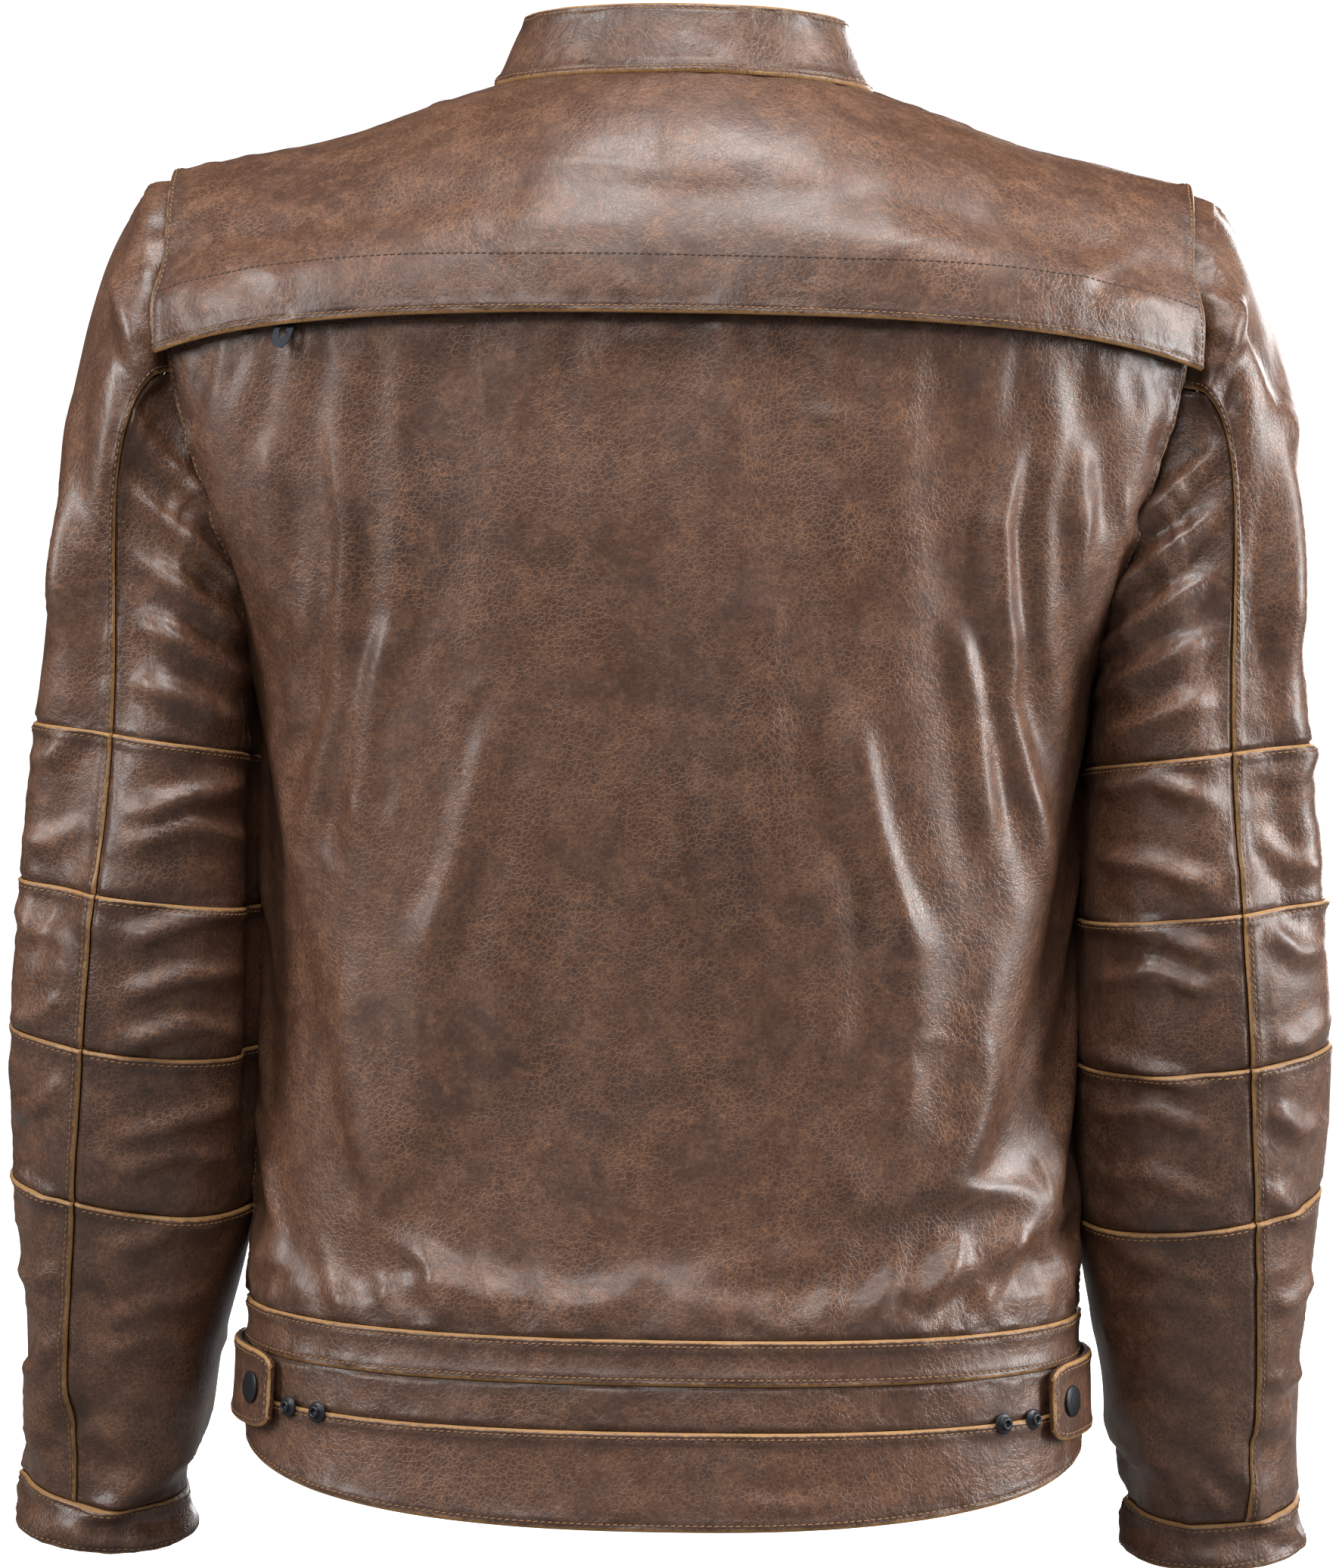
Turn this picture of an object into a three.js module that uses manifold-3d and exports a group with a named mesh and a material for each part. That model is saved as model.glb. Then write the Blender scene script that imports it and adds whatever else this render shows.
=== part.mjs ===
// Leather riding jacket, cut and sewn from separate panels, as it hangs on a body.
// Millimetres, +Z up, +Y to the wearer's front, +X to the wearer's right.
// Origin: middle of the hang loop's bearing face, inside the back of the collar.
import * as THREE from "three";
import { mergeVertices } from "three/addons/utils/BufferGeometryUtils.js";
import Module from "manifold-3d";

const wasm = await Module();
wasm.setup();

// ---------------------------------------------------------------- driving dimensions
const LEATHER = 1.8; // panel thickness
const SEAM_GAP = 0.8; // free gap between two neighbouring panels
const AXIS_Y = 62; // the neck's upright axis, in front of the hang loop
const SECTION_POWER = 2.4; // fullness of the torso's horizontal sections

const NECK = { halfX: 88, back: 75, front: 74, rise: 6, sideDrop: 1, frontDrop: 78, frontCurve: 1.5 };
const COLLAR = { height: 31, lean: 13, endAngle: 4, clear: 1.6 };
const ARMHOLE = { top: -38, bottom: -275 };
const WAIST = {
  upperSide: -570, upperCentre: -580, upperFront: -584, pitch: 21,
  hemSide: -633, hemCentre: -667, hemFront: -646,
};
const YOKE = { edgeCentre: -112, edgeDrop: 17, flapLift: 8.8 };
const FRONT_SLOPE = { y: 74, z: -72, perMm: 46 / 568 }; // straight line that the main zip follows

const MATERIALS = {
  leather: new THREE.MeshStandardMaterial({ color: 0x5a4236, roughness: 0.42, metalness: 0 }),
  lining: new THREE.MeshStandardMaterial({ color: 0x2a2523, roughness: 0.85, metalness: 0 }),
  zip: new THREE.MeshStandardMaterial({ color: 0x1c1c1e, roughness: 0.45, metalness: 0.7 }),
  snap: new THREE.MeshStandardMaterial({ color: 0x1f2124, roughness: 0.4, metalness: 0.8 }),
  armour: new THREE.MeshStandardMaterial({ color: 0x3a3d40, roughness: 0.8, metalness: 0 }),
};

// ---------------------------------------------------------------- small maths
const lerp = (a, b, t) => a + (b - a) * t;
const clamp01 = (t) => Math.min(1, Math.max(0, t));
const smooth = (t) => clamp01(t) ** 2 * (3 - 2 * clamp01(t));
const radians = (degrees) => (degrees * Math.PI) / 180;
const signedPower = (value, power) => Math.sign(value) * Math.abs(value) ** power;

// A smooth curve through [position, value] knots, in rising or falling order of position.
function profile(knots) {
  const rising = knots[0][0] < knots[knots.length - 1][0] ? knots : [...knots].reverse();
  const slope = (i) => {
    const a = rising[Math.max(0, i - 1)];
    const b = rising[Math.min(rising.length - 1, i + 1)];
    return (b[1] - a[1]) / (b[0] - a[0]);
  };
  return (position) => {
    const last = rising.length - 2;
    let i = 0;
    while (i < last && position > rising[i + 1][0]) i++;
    const [p0, v0] = rising[i];
    const [p1, v1] = rising[i + 1];
    const span = p1 - p0;
    const t = clamp01((position - p0) / span);
    const h = t * t * (3 - 2 * t);
    return v0 * (1 - h) + v1 * h + span * (slope(i) * t * (1 - t) ** 2 - slope(i + 1) * t * t * (1 - t));
  };
}

// ---------------------------------------------------------------- torso surface
const halfWidth = profile([
  [0, 270], [-90, 268], [-140, 259], [-200, 236], [-240, 215], [-275, 198],
  [-350, 196], [-450, 193], [-525, 195], [-580, 197], [-640, 199], [-700, 203],
]);
const backDepth = profile([
  [0, 118], [-60, 124], [-140, 132], [-200, 134], [-280, 129],
  [-380, 119], [-470, 114], [-560, 117], [-700, 124],
]);
const frontDepth = (z) => FRONT_SLOPE.y + (FRONT_SLOPE.z - z) * FRONT_SLOPE.perMm;
const shoulderRidge = profile([
  [0, 28], [60, 18], [88, 5], [101, 1], [121, -6],
  [154, -18], [180, -25], [209, -31], [242, -38], [275, -46],
]);
const armholeX = profile([
  [-38, 242], [-90, 240], [-140, 236], [-200, 218], [-240, 205], [-275, 198],
]);

// Half the angle that a back or front panel spans at height z: to the armhole, or to the side seam.
function edgeAngle(z) {
  const x = z > ARMHOLE.bottom ? armholeX(z) : halfWidth(z);
  return Math.asin(Math.min(1, (x / halfWidth(z)) ** (SECTION_POWER / 2)));
}

// How far the shoulder has rounded over, 0 on the ridge and 1 on the upright wall.
function shoulderRound(x, z, front) {
  const rounding = front ? 70 + 70 * smooth(Math.abs(x) / 90) : 95;
  const below = clamp01((shoulderRidge(Math.abs(x)) - z) / rounding);
  return Math.sqrt(1 - (1 - below) ** 2);
}

// A point of the torso's outer surface: angle 0 is the centre back, 90 degrees the wearer's right side.
function torsoPoint(angle, z) {
  const front = Math.cos(angle) < 0;
  const x = halfWidth(z) * signedPower(Math.sin(angle), 2 / SECTION_POWER);
  const depth = front ? frontDepth(z) : backDepth(z);
  const y = -depth * signedPower(Math.cos(angle), 2 / SECTION_POWER) * shoulderRound(x, z, front);
  return new THREE.Vector3(x, AXIS_Y + y, z);
}

// The neck seam: angle as above.
function neckPoint(angle) {
  const depth = Math.cos(angle) < 0 ? NECK.front : NECK.back;
  const towardsFront = Math.max(0, -Math.cos(angle));
  const drop = NECK.sideDrop * Math.sin(angle) ** 2 + NECK.frontDrop * towardsFront ** NECK.frontCurve;
  return new THREE.Vector3(NECK.halfX * Math.sin(angle), AXIS_Y - depth * Math.cos(angle), NECK.rise - drop);
}

// ---------------------------------------------------------------- solids from surfaces
// A closed solid between two offsets of the surface at(u, v), u and v from 0 to 1, along its normal.
// A wrapped sheet closes on itself in u. keep(column, row) can leave cells out.
function sheet(at, columns, rows, outer, inner, { wrap = false, flip = false, keep = () => true } = {}) {
  const across = wrap ? columns : columns + 1;
  const step = 1e-4;
  const offsetAt = (u, v, amount) => {
    const u0 = wrap ? u - step : Math.max(0, u - step);
    const u1 = wrap ? u + step : Math.min(1, u + step);
    const v0 = Math.max(0, v - step);
    const v1 = Math.min(1, v + step);
    const du = at(u1, v).sub(at(u0, v));
    const dv = at(u, v1).sub(at(u, v0));
    const normal = dv.cross(du).normalize().multiplyScalar(flip ? -1 : 1);
    return at(u, v).addScaledVector(normal, typeof amount === "function" ? amount(u, v) : amount);
  };
  const positions = [];
  for (const amount of [outer, inner])
    for (let j = 0; j <= rows; j++)
      for (let i = 0; i < across; i++) {
        positions.push(...offsetAt(i / columns, j / rows, amount).toArray());
      }
  const layer = across * (rows + 1);
  const id = (i, j, side) => side * layer + j * across + (i % across);
  const kept = (i, j) => {
    if (j < 0 || j >= rows) return false;
    if (!wrap && (i < 0 || i >= columns)) return false;
    return keep((i + columns) % columns, j);
  };
  const index = [];
  const quad = (a, b, c, d) => {
    if (flip) index.push(a, b, c, a, c, d);
    else index.push(a, d, c, a, c, b);
  };
  for (let j = 0; j < rows; j++)
    for (let i = 0; i < columns; i++) {
      if (!kept(i, j)) continue;
      const corners = (side) => [
        id(i, j, side), id(i + 1, j, side), id(i + 1, j + 1, side), id(i, j + 1, side),
      ];
      const [a, b, c, d] = corners(0);
      const [e, f, g, h] = corners(1);
      quad(a, b, c, d);
      quad(h, g, f, e);
      if (!kept(i, j - 1)) quad(e, f, b, a);
      if (!kept(i, j + 1)) quad(d, c, g, h);
      if (!kept(i - 1, j)) quad(e, a, d, h);
      if (!kept(i + 1, j)) quad(b, f, g, c);
    }
  const geometry = new THREE.BufferGeometry();
  geometry.setAttribute("position", new THREE.BufferAttribute(new Float32Array(positions), 3));
  geometry.setIndex(index);
  return geometry.toNonIndexed();
}

function toManifold(geometry) {
  const bare = new THREE.BufferGeometry().setAttribute("position", geometry.getAttribute("position"));
  if (geometry.index) bare.setIndex(geometry.index);
  const merged = mergeVertices(bare, 1e-3);
  return new wasm.Manifold(
    new wasm.Mesh({
      numProp: 3,
      vertProperties: merged.getAttribute("position").array,
      triVerts: new Uint32Array(merged.index.array),
    }),
  );
}

function fromManifold(solid) {
  const mesh = solid.getMesh();
  const geometry = new THREE.BufferGeometry();
  geometry.setAttribute("position", new THREE.BufferAttribute(new Float32Array(mesh.vertProperties), 3));
  geometry.setIndex(new THREE.BufferAttribute(new Uint32Array(mesh.triVerts), 1));
  return geometry.toNonIndexed();
}

const joined = (...pieces) => fromManifold(pieces.map(toManifold).reduce((a, b) => a.add(b)));
function cut(piece, ...tools) {
  return fromManifold(tools.map(toManifold).reduce((a, b) => a.subtract(b), toManifold(piece)));
}

// A turned piece: [radius, height] outline from the axis back to the axis, its own axis along +Z.
function turned(outline, segments = 20) {
  const points = outline.map(([r, h]) => new THREE.Vector2(r, h));
  return new THREE.LatheGeometry(points, segments).rotateX(Math.PI / 2);
}

// A flat plate from an outline in its own XY plane, from z 0 to thickness.
function plate(outline, thickness, holes = []) {
  const prism = (points, depth) => {
    const shape = new THREE.Shape(points.map(([x, y]) => new THREE.Vector2(x, y)));
    return new THREE.ExtrudeGeometry(shape, { depth, bevelEnabled: false });
  };
  const solid = prism(outline, thickness);
  if (!holes.length) return solid;
  return cut(solid, ...holes.map((hole) => prism(hole, thickness + 2).translate(0, 0, -1)));
}

const box = (x, y, z) => new THREE.BoxGeometry(x, y, z);

// Axes of a surface at a point: right along +u, up against +v, and out along the normal.
function surfaceAxes(at, u, v) {
  const step = 1e-3;
  const right = at(u + step, v).sub(at(u - step, v)).normalize();
  const up = at(u, v - step).sub(at(u, v + step)).normalize();
  const out = new THREE.Vector3().crossVectors(right, up).normalize();
  up.crossVectors(out, right);
  return new THREE.Matrix4().makeBasis(right, up, out).setPosition(at(u, v));
}

// ---------------------------------------------------------------- scene graph
const jacket = new THREE.Group();
function add(name, geometry, material) {
  const mesh = new THREE.Mesh(geometry, MATERIALS[material]);
  mesh.name = name;
  jacket.add(mesh);
  return mesh;
}
const place = (mesh, matrix) => matrix.decompose(mesh.position, mesh.quaternion, mesh.scale);
const SIDES = [["left", -1], ["right", 1]];

// ---------------------------------------------------------------- seams of the torso
const across = (u) => 2 * u - 1; // u from 0 to 1 becomes -1 (left) to 1 (right)
const bow = (u) => Math.cos((across(u) * Math.PI) / 2); // 0 at the side seams, 1 at the centre back
const yokeEdge = (u) => YOKE.edgeCentre - YOKE.edgeDrop * Math.abs(across(u)) ** 2.2;
const waistSeam = (u, step) => lerp(WAIST.upperSide, WAIST.upperCentre, bow(u)) - WAIST.pitch * step;
const hemEdge = (u) => lerp(WAIST.hemSide, WAIST.hemCentre, bow(u));

// A back panel between two seams, each a height as a function of u.
function backPanel(top, bottom, { rowPower = 1, trim = radians(0.15) } = {}) {
  return (u, v) => {
    const z = lerp(top(u), bottom(u), v ** rowPower);
    return torsoPoint(across(u) * (edgeAngle(z) - trim), z);
  };
}

// The top of a shoulder panel: the neck seam near the neck, the shoulder ridge beyond it.
function shoulderTop(angle) {
  const x = halfWidth(ARMHOLE.top) * signedPower(Math.sin(angle), 2 / SECTION_POWER);
  const ridge = shoulderRidge(Math.abs(x)) - 0.01;
  if (Math.abs(x) >= NECK.halfX) return { z: ridge, neck: null };
  const front = Math.cos(angle) < 0;
  const neckAngle = front ? Math.PI - Math.asin(x / NECK.halfX) : Math.asin(x / NECK.halfX);
  const neck = neckPoint(neckAngle);
  return { z: Math.min(ridge, neck.z), neck };
}

// A shoulder panel: starts on the neck seam or the ridge, and eases from there onto the torso surface.
function shoulderPanel(angleAt, bottomAt, easeRows = 0.5) {
  return (u, v) => {
    const top = shoulderTop(angleAt(u, ARMHOLE.top));
    const z = lerp(top.z, bottomAt(u), v ** 1.8);
    const point = torsoPoint(angleAt(u, z), z);
    if (top.neck) {
      const start = torsoPoint(angleAt(u, top.z), top.z);
      const fade = 1 - smooth(v / easeRows);
      point.add(top.neck.clone().sub(start).multiplyScalar(fade));
    }
    return point;
  };
}

// ---------------------------------------------------------------- collar surface
const collarAngle = (u) => across(u) * (Math.PI - radians(COLLAR.endAngle));
function collarSurface(u, v) {
  const angle = collarAngle(u);
  const seam = neckPoint(angle);
  const toEnd = clamp01((Math.PI - radians(COLLAR.endAngle) - Math.abs(angle)) / radians(22));
  const endHeight = 0.55 + 0.45 * Math.sqrt(1 - (1 - toEnd) ** 2);
  const rise = (1 - v) * COLLAR.height * endHeight;
  const shrink = 1 - ((COLLAR.lean / NECK.halfX) * rise) / COLLAR.height;
  const forward = -0.35 * rise * (1 - Math.cos(angle)) * 0.5;
  return new THREE.Vector3(
    seam.x * shrink,
    AXIS_Y + (seam.y - AXIS_Y) * shrink + forward,
    seam.z + COLLAR.clear + rise,
  );
}
// The room the stand collar needs: cut from the panels that meet it.
const collarRoom = sheet((u, v) => collarSurface(u, lerp(0, 1.025, v)), 40, 2, 1.2, -9);

// ---------------------------------------------------------------- back of the torso
const yokeAngle = (u, z) => across(u) * edgeAngle(z);
const yokeSurface = shoulderPanel(yokeAngle, yokeEdge);
const flapShare = (v) => smooth((v - 0.66) / 0.22);
const yokeLift = (u, v) => YOKE.flapLift * flapShare(v);
const yoke = sheet(yokeSurface, 20, 9, yokeLift, (u, v) => yokeLift(u, v) - LEATHER);
add("back_yoke", cut(yoke, collarRoom), "leather");

const VENT_BELOW = 4; // the back panel starts this far above the flap's edge
const backTop = (u) => yokeEdge(u) + VENT_BELOW;
const backSurface = backPanel(backTop, (u) => waistSeam(u, 0) + SEAM_GAP);
add("back_panel", sheet(backSurface, 20, 11, 0, -LEATHER), "leather");

const upperBand = backPanel((u) => waistSeam(u, 0), (u) => waistSeam(u, 1) + SEAM_GAP);
const lowerBand = backPanel((u) => waistSeam(u, 1), (u) => waistSeam(u, 2) + SEAM_GAP);
const hemBand = backPanel((u) => waistSeam(u, 2), hemEdge);

// ---------------------------------------------------------------- waist studs and tabs
const RAISED = 0.6; // how far the raised strips of the waist stand above the flat ones
const STUD = {
  count: 2, firstU: 0.821, pitchU: 0.044,
  shank: 1.6, flange: 4.9, shoulder: 3.6, post: 2.8, hollow: 1.3,
  back: -4.4, flangeBase: 1, flangeTop: 1.8, neck: 2.7, height: 4.3, clearance: 0.4,
};
const BACKING = { halfU: 0.018, from: 0.2, to: 0.8, outer: -3, inner: -4.2 }; // the strip inside the studs
const waistLine = backPanel((u) => waistSeam(u, 2) + 10, (u) => waistSeam(u, 2) - 10);
const onSide = (u, side) => 0.5 + side * (u - 0.5);
function studRow(side) {
  const studs = [];
  const holes = [];
  for (let k = 0; k < STUD.count; k++) {
    const axes = surfaceAxes(waistLine, onSide(STUD.firstU - STUD.pitchU * k, side), 0.5);
    const stud = turned([
      [0, STUD.back], [STUD.shank, STUD.back], [STUD.shank, STUD.flangeBase],
      [STUD.flange, STUD.flangeBase], [STUD.flange, STUD.flangeTop], [STUD.shoulder, STUD.flangeTop + 0.4],
      [STUD.post, STUD.neck], [STUD.post, STUD.height], [STUD.hollow, STUD.height],
      [STUD.hollow, STUD.neck], [0, STUD.neck],
    ], 12);
    studs.push(stud.applyMatrix4(axes));
    const bore = STUD.shank + STUD.clearance;
    holes.push(turned([[0, -6], [bore, -6], [bore, 6], [0, 6]], 8).applyMatrix4(axes));
  }
  const lastU = STUD.firstU - STUD.pitchU * (STUD.count - 1);
  const ends = [onSide(lastU - BACKING.halfU, side), onSide(STUD.firstU + BACKING.halfU, side)];
  const strip = (u, v) => waistLine(
    lerp(Math.min(...ends), Math.max(...ends), u),
    lerp(BACKING.from, BACKING.to, v),
  );
  return { solid: joined(sheet(strip, 4, 1, BACKING.outer, BACKING.inner), ...studs), holes };
}
const studRows = { left: studRow(-1), right: studRow(1) };
const studHoles = [...studRows.left.holes, ...studRows.right.holes];

add("waistband_upper", sheet(upperBand, 22, 1, RAISED, RAISED - LEATHER), "leather");
add("waistband_lower", cut(sheet(lowerBand, 22, 1, 0, -LEATHER), ...studHoles), "leather");
add("hem_panel", cut(sheet(hemBand, 22, 3, RAISED, RAISED - LEATHER), ...studHoles), "leather");

const TAB = {
  height: 36, thickness: 3, standOff: 2.6,
  from: 97, to: 62, // degrees round the torso: the tab is sewn on at the first, and free at the second
  step: 1.75, // its middle, in strips below the upper waist seam
  roundOver: 7, // degrees over which its free end rounds off
  corner: 6,
  capU: 0.2, bore: 2.2,
};
const CAP = { shank: 1.8, rivet: 4.6, radius: 7.4, crown: 5.5, height: 2 };

function tabSurface(side) {
  return (u, v) => {
    const degrees = lerp(TAB.to, TAB.from, side > 0 ? u : 1 - u);
    const seamU = onSide(0.5 + 0.5 * Math.min(1, degrees / 90), side);
    const nearEnd = clamp01((degrees - TAB.to) / TAB.roundOver);
    const half = TAB.height / 2 - TAB.corner * (1 - Math.sqrt(1 - (1 - nearEnd) ** 2));
    return torsoPoint(side * radians(degrees), waistSeam(seamU, TAB.step) + half * (1 - 2 * v));
  };
}

// A snap cap: its head above the leather, its shank through it, and a small rivet head below.
function snapCap(below, above) {
  return turned([
    [0, below - 0.9], [CAP.rivet, below - 0.9], [CAP.rivet, below - 0.3], [CAP.shank, below - 0.3],
    [CAP.shank, above + 0.3], [CAP.radius, above + 0.3], [CAP.radius - 0.2, above + 1.1],
    [CAP.crown, above + CAP.height - 0.2], [0, above + CAP.height],
  ], 24);
}

for (const [name, side] of SIDES) {
  const surface = tabSurface(side);
  const outer = TAB.standOff + TAB.thickness;
  const capAxes = surfaceAxes(surface, side > 0 ? TAB.capU : 1 - TAB.capU, 0.5);
  const bore = turned([[0, -1], [TAB.bore, -1], [TAB.bore, 9], [0, 9]], 12).applyMatrix4(capAxes);
  add(`waist_tab_${name}`, cut(sheet(surface, 14, 3, outer, TAB.standOff), bore), "leather");
  place(add(`tab_snap_${name}`, snapCap(TAB.standOff, outer), "snap"), capAxes);
  add(`stud_row_${name}`, studRows[name].solid, "snap");
}

// ---------------------------------------------------------------- zip parts
// Every zip is built along its own +Y, with +X across it and +Z out of the jacket.
const SLIDER = { length: 13, width: 9, top: 0.3, bridge: 3.4 };
const PULL = { length: 26, width: 8, thickness: 1.2 };

function slider(bottom, top) {
  const body = box(SLIDER.width, SLIDER.length, top - bottom).translate(0, 0, (top + bottom) / 2);
  const post = box(2.6, 6.4, SLIDER.bridge).translate(0, 0, top + SLIDER.bridge / 2 - 0.2);
  const eye = box(4, 2.8, 2.2).translate(0, 0, top + 1.6);
  return cut(joined(body, post), eye);
}

// A pull tag hanging from its own cross bar at the origin, down its -Y.
function pullTag() {
  const half = PULL.width / 2;
  const end = -PULL.length;
  const outline = [
    [-half, 0.8], [half, 0.8], [half, end + 7], [half - 1.2, end + 2], [half - 2.6, end],
    [2.6 - half, end], [1.2 - half, end + 2], [-half, end + 7],
  ];
  const opening = [[-2.3, -0.8], [-2.3, -6], [2.3, -6], [2.3, -0.8]];
  const diamond = [[0, end + 2.4], [-2, end + 6], [0, end + 9.6], [2, end + 6]];
  return plate(outline, PULL.thickness, [opening, diamond]).translate(0, 0, -PULL.thickness / 2);
}

const POCKET = { length: 130, width: 11, x: 104, z: -474, lean: 17 };

function slotOutline(length, width) {
  const half = width / 2;
  const end = length / 2;
  const steps = 6;
  const arc = (sign) =>
    Array.from({ length: steps + 1 }, (_, k) => {
      const angle = (Math.PI * k) / steps;
      return [sign * half * Math.cos(angle), sign * (end - half + half * Math.sin(angle))];
    });
  return [...arc(1), ...arc(-1)];
}

// The pocket opening's own frame: +Y up along the slanted slot, +Z out of the front panel.
function pocketFrame(side) {
  const angle = side * (Math.PI - Math.asin((POCKET.x / halfWidth(POCKET.z)) ** (SECTION_POWER / 2)));
  const centre = torsoPoint(angle, POCKET.z);
  const step = 0.02;
  const across = torsoPoint(angle - side * step, POCKET.z).sub(torsoPoint(angle + side * step, POCKET.z));
  const right = across.multiplyScalar(-side).normalize();
  const up = torsoPoint(angle, POCKET.z + 5).sub(torsoPoint(angle, POCKET.z - 5)).normalize();
  const out = right.clone().cross(up).normalize();
  const frame = new THREE.Matrix4().makeBasis(right, out.clone().cross(right), out).setPosition(centre);
  return frame.multiply(new THREE.Matrix4().makeRotationZ(-side * radians(POCKET.lean)));
}

// ---------------------------------------------------------------- front of the torso
const ZIP = { panelEdge: 7, tapeOuter: 15, teeth: 3, gap: 0.9, top: -85, bottom: -632 };
const frontHem = (u) => lerp(WAIST.hemFront, WAIST.hemSide, u);
const frontWaist = (u) => lerp(WAIST.upperFront, WAIST.upperSide, u);
function frontAngle(side) {
  return (u, z) => {
    const start = Math.asin((ZIP.panelEdge / halfWidth(z)) ** (SECTION_POWER / 2));
    const share = side > 0 ? 1 - u : u;
    const limit = edgeAngle(z) - radians(0.15);
    return side * (Math.PI - lerp(limit, start, share));
  };
}
for (const [name, side] of SIDES) {
  const angleAt = frontAngle(side);
  const sideShare = (u) => (side > 0 ? u : 1 - u);
  const panel = shoulderPanel(angleAt, (u) => frontWaist(sideShare(u)) + SEAM_GAP, 0.35);
  const waist = (u, v) => {
    const s = sideShare(u);
    const z = lerp(frontWaist(s), frontHem(s), v);
    return torsoPoint(angleAt(u, z), z);
  };
  const slot = pocketFrame(side);
  const opening = plate(slotOutline(POCKET.length + 3, POCKET.width), 16).translate(0, 0, -8);
  const front = sheet(panel, 11, 17, 0, -LEATHER, { flip: true });
  add(`front_panel_${name}`, cut(front, opening.applyMatrix4(slot), collarRoom), "leather");
  add(`front_waist_${name}`, sheet(waist, 11, 3, RAISED, RAISED - LEATHER, { flip: true }), "leather");
}

// ---------------------------------------------------------------- main zip
const zipUp = new THREE.Vector3(0, -FRONT_SLOPE.perMm, 1).normalize();
const zipRight = new THREE.Vector3(-1, 0, 0);
const zipOut = new THREE.Vector3().crossVectors(zipRight, zipUp);
const zipFoot = new THREE.Vector3(0, AXIS_Y + frontDepth(ZIP.bottom), ZIP.bottom);
const mainZip = new THREE.Matrix4().makeBasis(zipRight, zipUp, zipOut).setPosition(zipFoot);
const zipLength = (ZIP.top - ZIP.bottom) * Math.hypot(1, FRONT_SLOPE.perMm);
const tapeWidth = ZIP.tapeOuter - ZIP.gap / 2;
for (const [name, side] of SIDES) {
  const tape = box(tapeWidth, zipLength, 1);
  tape.translate(-side * (ZIP.gap / 2 + tapeWidth / 2), zipLength / 2, -3.7);
  const teeth = box(ZIP.teeth, zipLength - 8, 2.2);
  teeth.translate(-side * (ZIP.gap / 2 + ZIP.teeth / 2), zipLength / 2, -2.5);
  place(add(`main_zip_${name}`, joined(tape, teeth), "zip"), mainZip);
}
const MAIN_SLIDER = { bottom: -1.1, top: 1.4, y: zipLength - 12 };
const sliderBase = mainZip.clone().multiply(new THREE.Matrix4().makeTranslation(0, MAIN_SLIDER.y, 0));
place(add("main_zip_slider", slider(MAIN_SLIDER.bottom, MAIN_SLIDER.top), "zip"), sliderBase);
const mainPull = new THREE.Matrix4().makeTranslation(0, 0, MAIN_SLIDER.top + 1.6);
place(add("main_zip_pull", pullTag(), "zip"), sliderBase.clone().multiply(mainPull));

// ---------------------------------------------------------------- pocket zips
for (const [name, side] of SIDES) {
  const frame = pocketFrame(side);
  const tape = box(24, POCKET.length + 10, 1.2).translate(0, 0, -5.6);
  const teeth = box(5, POCKET.length - 4, 2.2).translate(0, 0, -4.2);
  place(add(`pocket_zip_${name}`, joined(tape, teeth), "zip"), frame);
  const base = frame.clone().multiply(new THREE.Matrix4().makeTranslation(0, POCKET.length / 2 - 10, 0));
  place(add(`pocket_slider_${name}`, slider(-2.7, 0.9), "zip"), base);
  const hang = new THREE.Matrix4().makeTranslation(0, 0, 0.9 + 1.6);
  place(add(`pocket_pull_${name}`, pullTag(), "zip"), base.clone().multiply(hang));
}

// ---------------------------------------------------------------- vent zip under the yoke's flap
// The chain lies on a circular arc, so that its slider can follow it about one axis.
const VENT = { aboveEdge: 17, endX: 178, proud: 1.4, chainWidth: 5, tapeWidth: 20, bottom: -2.6 };
function ventTrackPoint(x) {
  const u = 0.5 + (0.5 * x) / armholeX(-130);
  const z = yokeEdge(u) + VENT.aboveEdge;
  const angle = Math.sign(x) * Math.asin((Math.abs(x) / halfWidth(z)) ** (SECTION_POWER / 2));
  return torsoPoint(angle, z).sub(new THREE.Vector3(0, VENT.proud, 0));
}
const ventEnd = ventTrackPoint(VENT.endX);
const ventApex = ventTrackPoint(0);
const ventSag = new THREE.Vector3(0, ventEnd.y - ventApex.y, ventEnd.z - ventApex.z);
const ventRadius = (VENT.endX ** 2 + ventSag.lengthSq()) / (2 * ventSag.length());
const ventInward = ventSag.clone().normalize();
const ventCentre = ventApex.clone().addScaledVector(ventInward, ventRadius);
const ventAxis = new THREE.Vector3(1, 0, 0).cross(ventInward);
const ventSweep = Math.asin(VENT.endX / ventRadius);
// The arc at an angle from its middle, raised out of the jacket, and moved up across the zip.
// The tilt turns the chain's faces flat to the back, although the arc's plane leans.
const ventTilt = Math.atan2(-ventInward.z, ventInward.y);
function ventPoint(angle, raised, up) {
  const radial = ventInward.clone().multiplyScalar(-Math.cos(angle));
  radial.x += Math.sin(angle);
  return ventCentre
    .clone()
    .addScaledVector(radial, ventRadius + raised * Math.cos(ventTilt) + up * Math.sin(ventTilt))
    .addScaledVector(ventAxis, up * Math.cos(ventTilt) - raised * Math.sin(ventTilt));
}
const ventStrip = (width, outer, inner) => {
  const sweep = ventSweep + 6 / ventRadius;
  return sheet((u, v) => ventPoint(lerp(-sweep, sweep, u), 0, width * (0.5 - v)), 24, 1, outer, inner);
};
add("vent_zip", joined(ventStrip(VENT.tapeWidth, -4.6, -5.6), ventStrip(VENT.chainWidth, -3, -4.8)), "zip");
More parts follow.
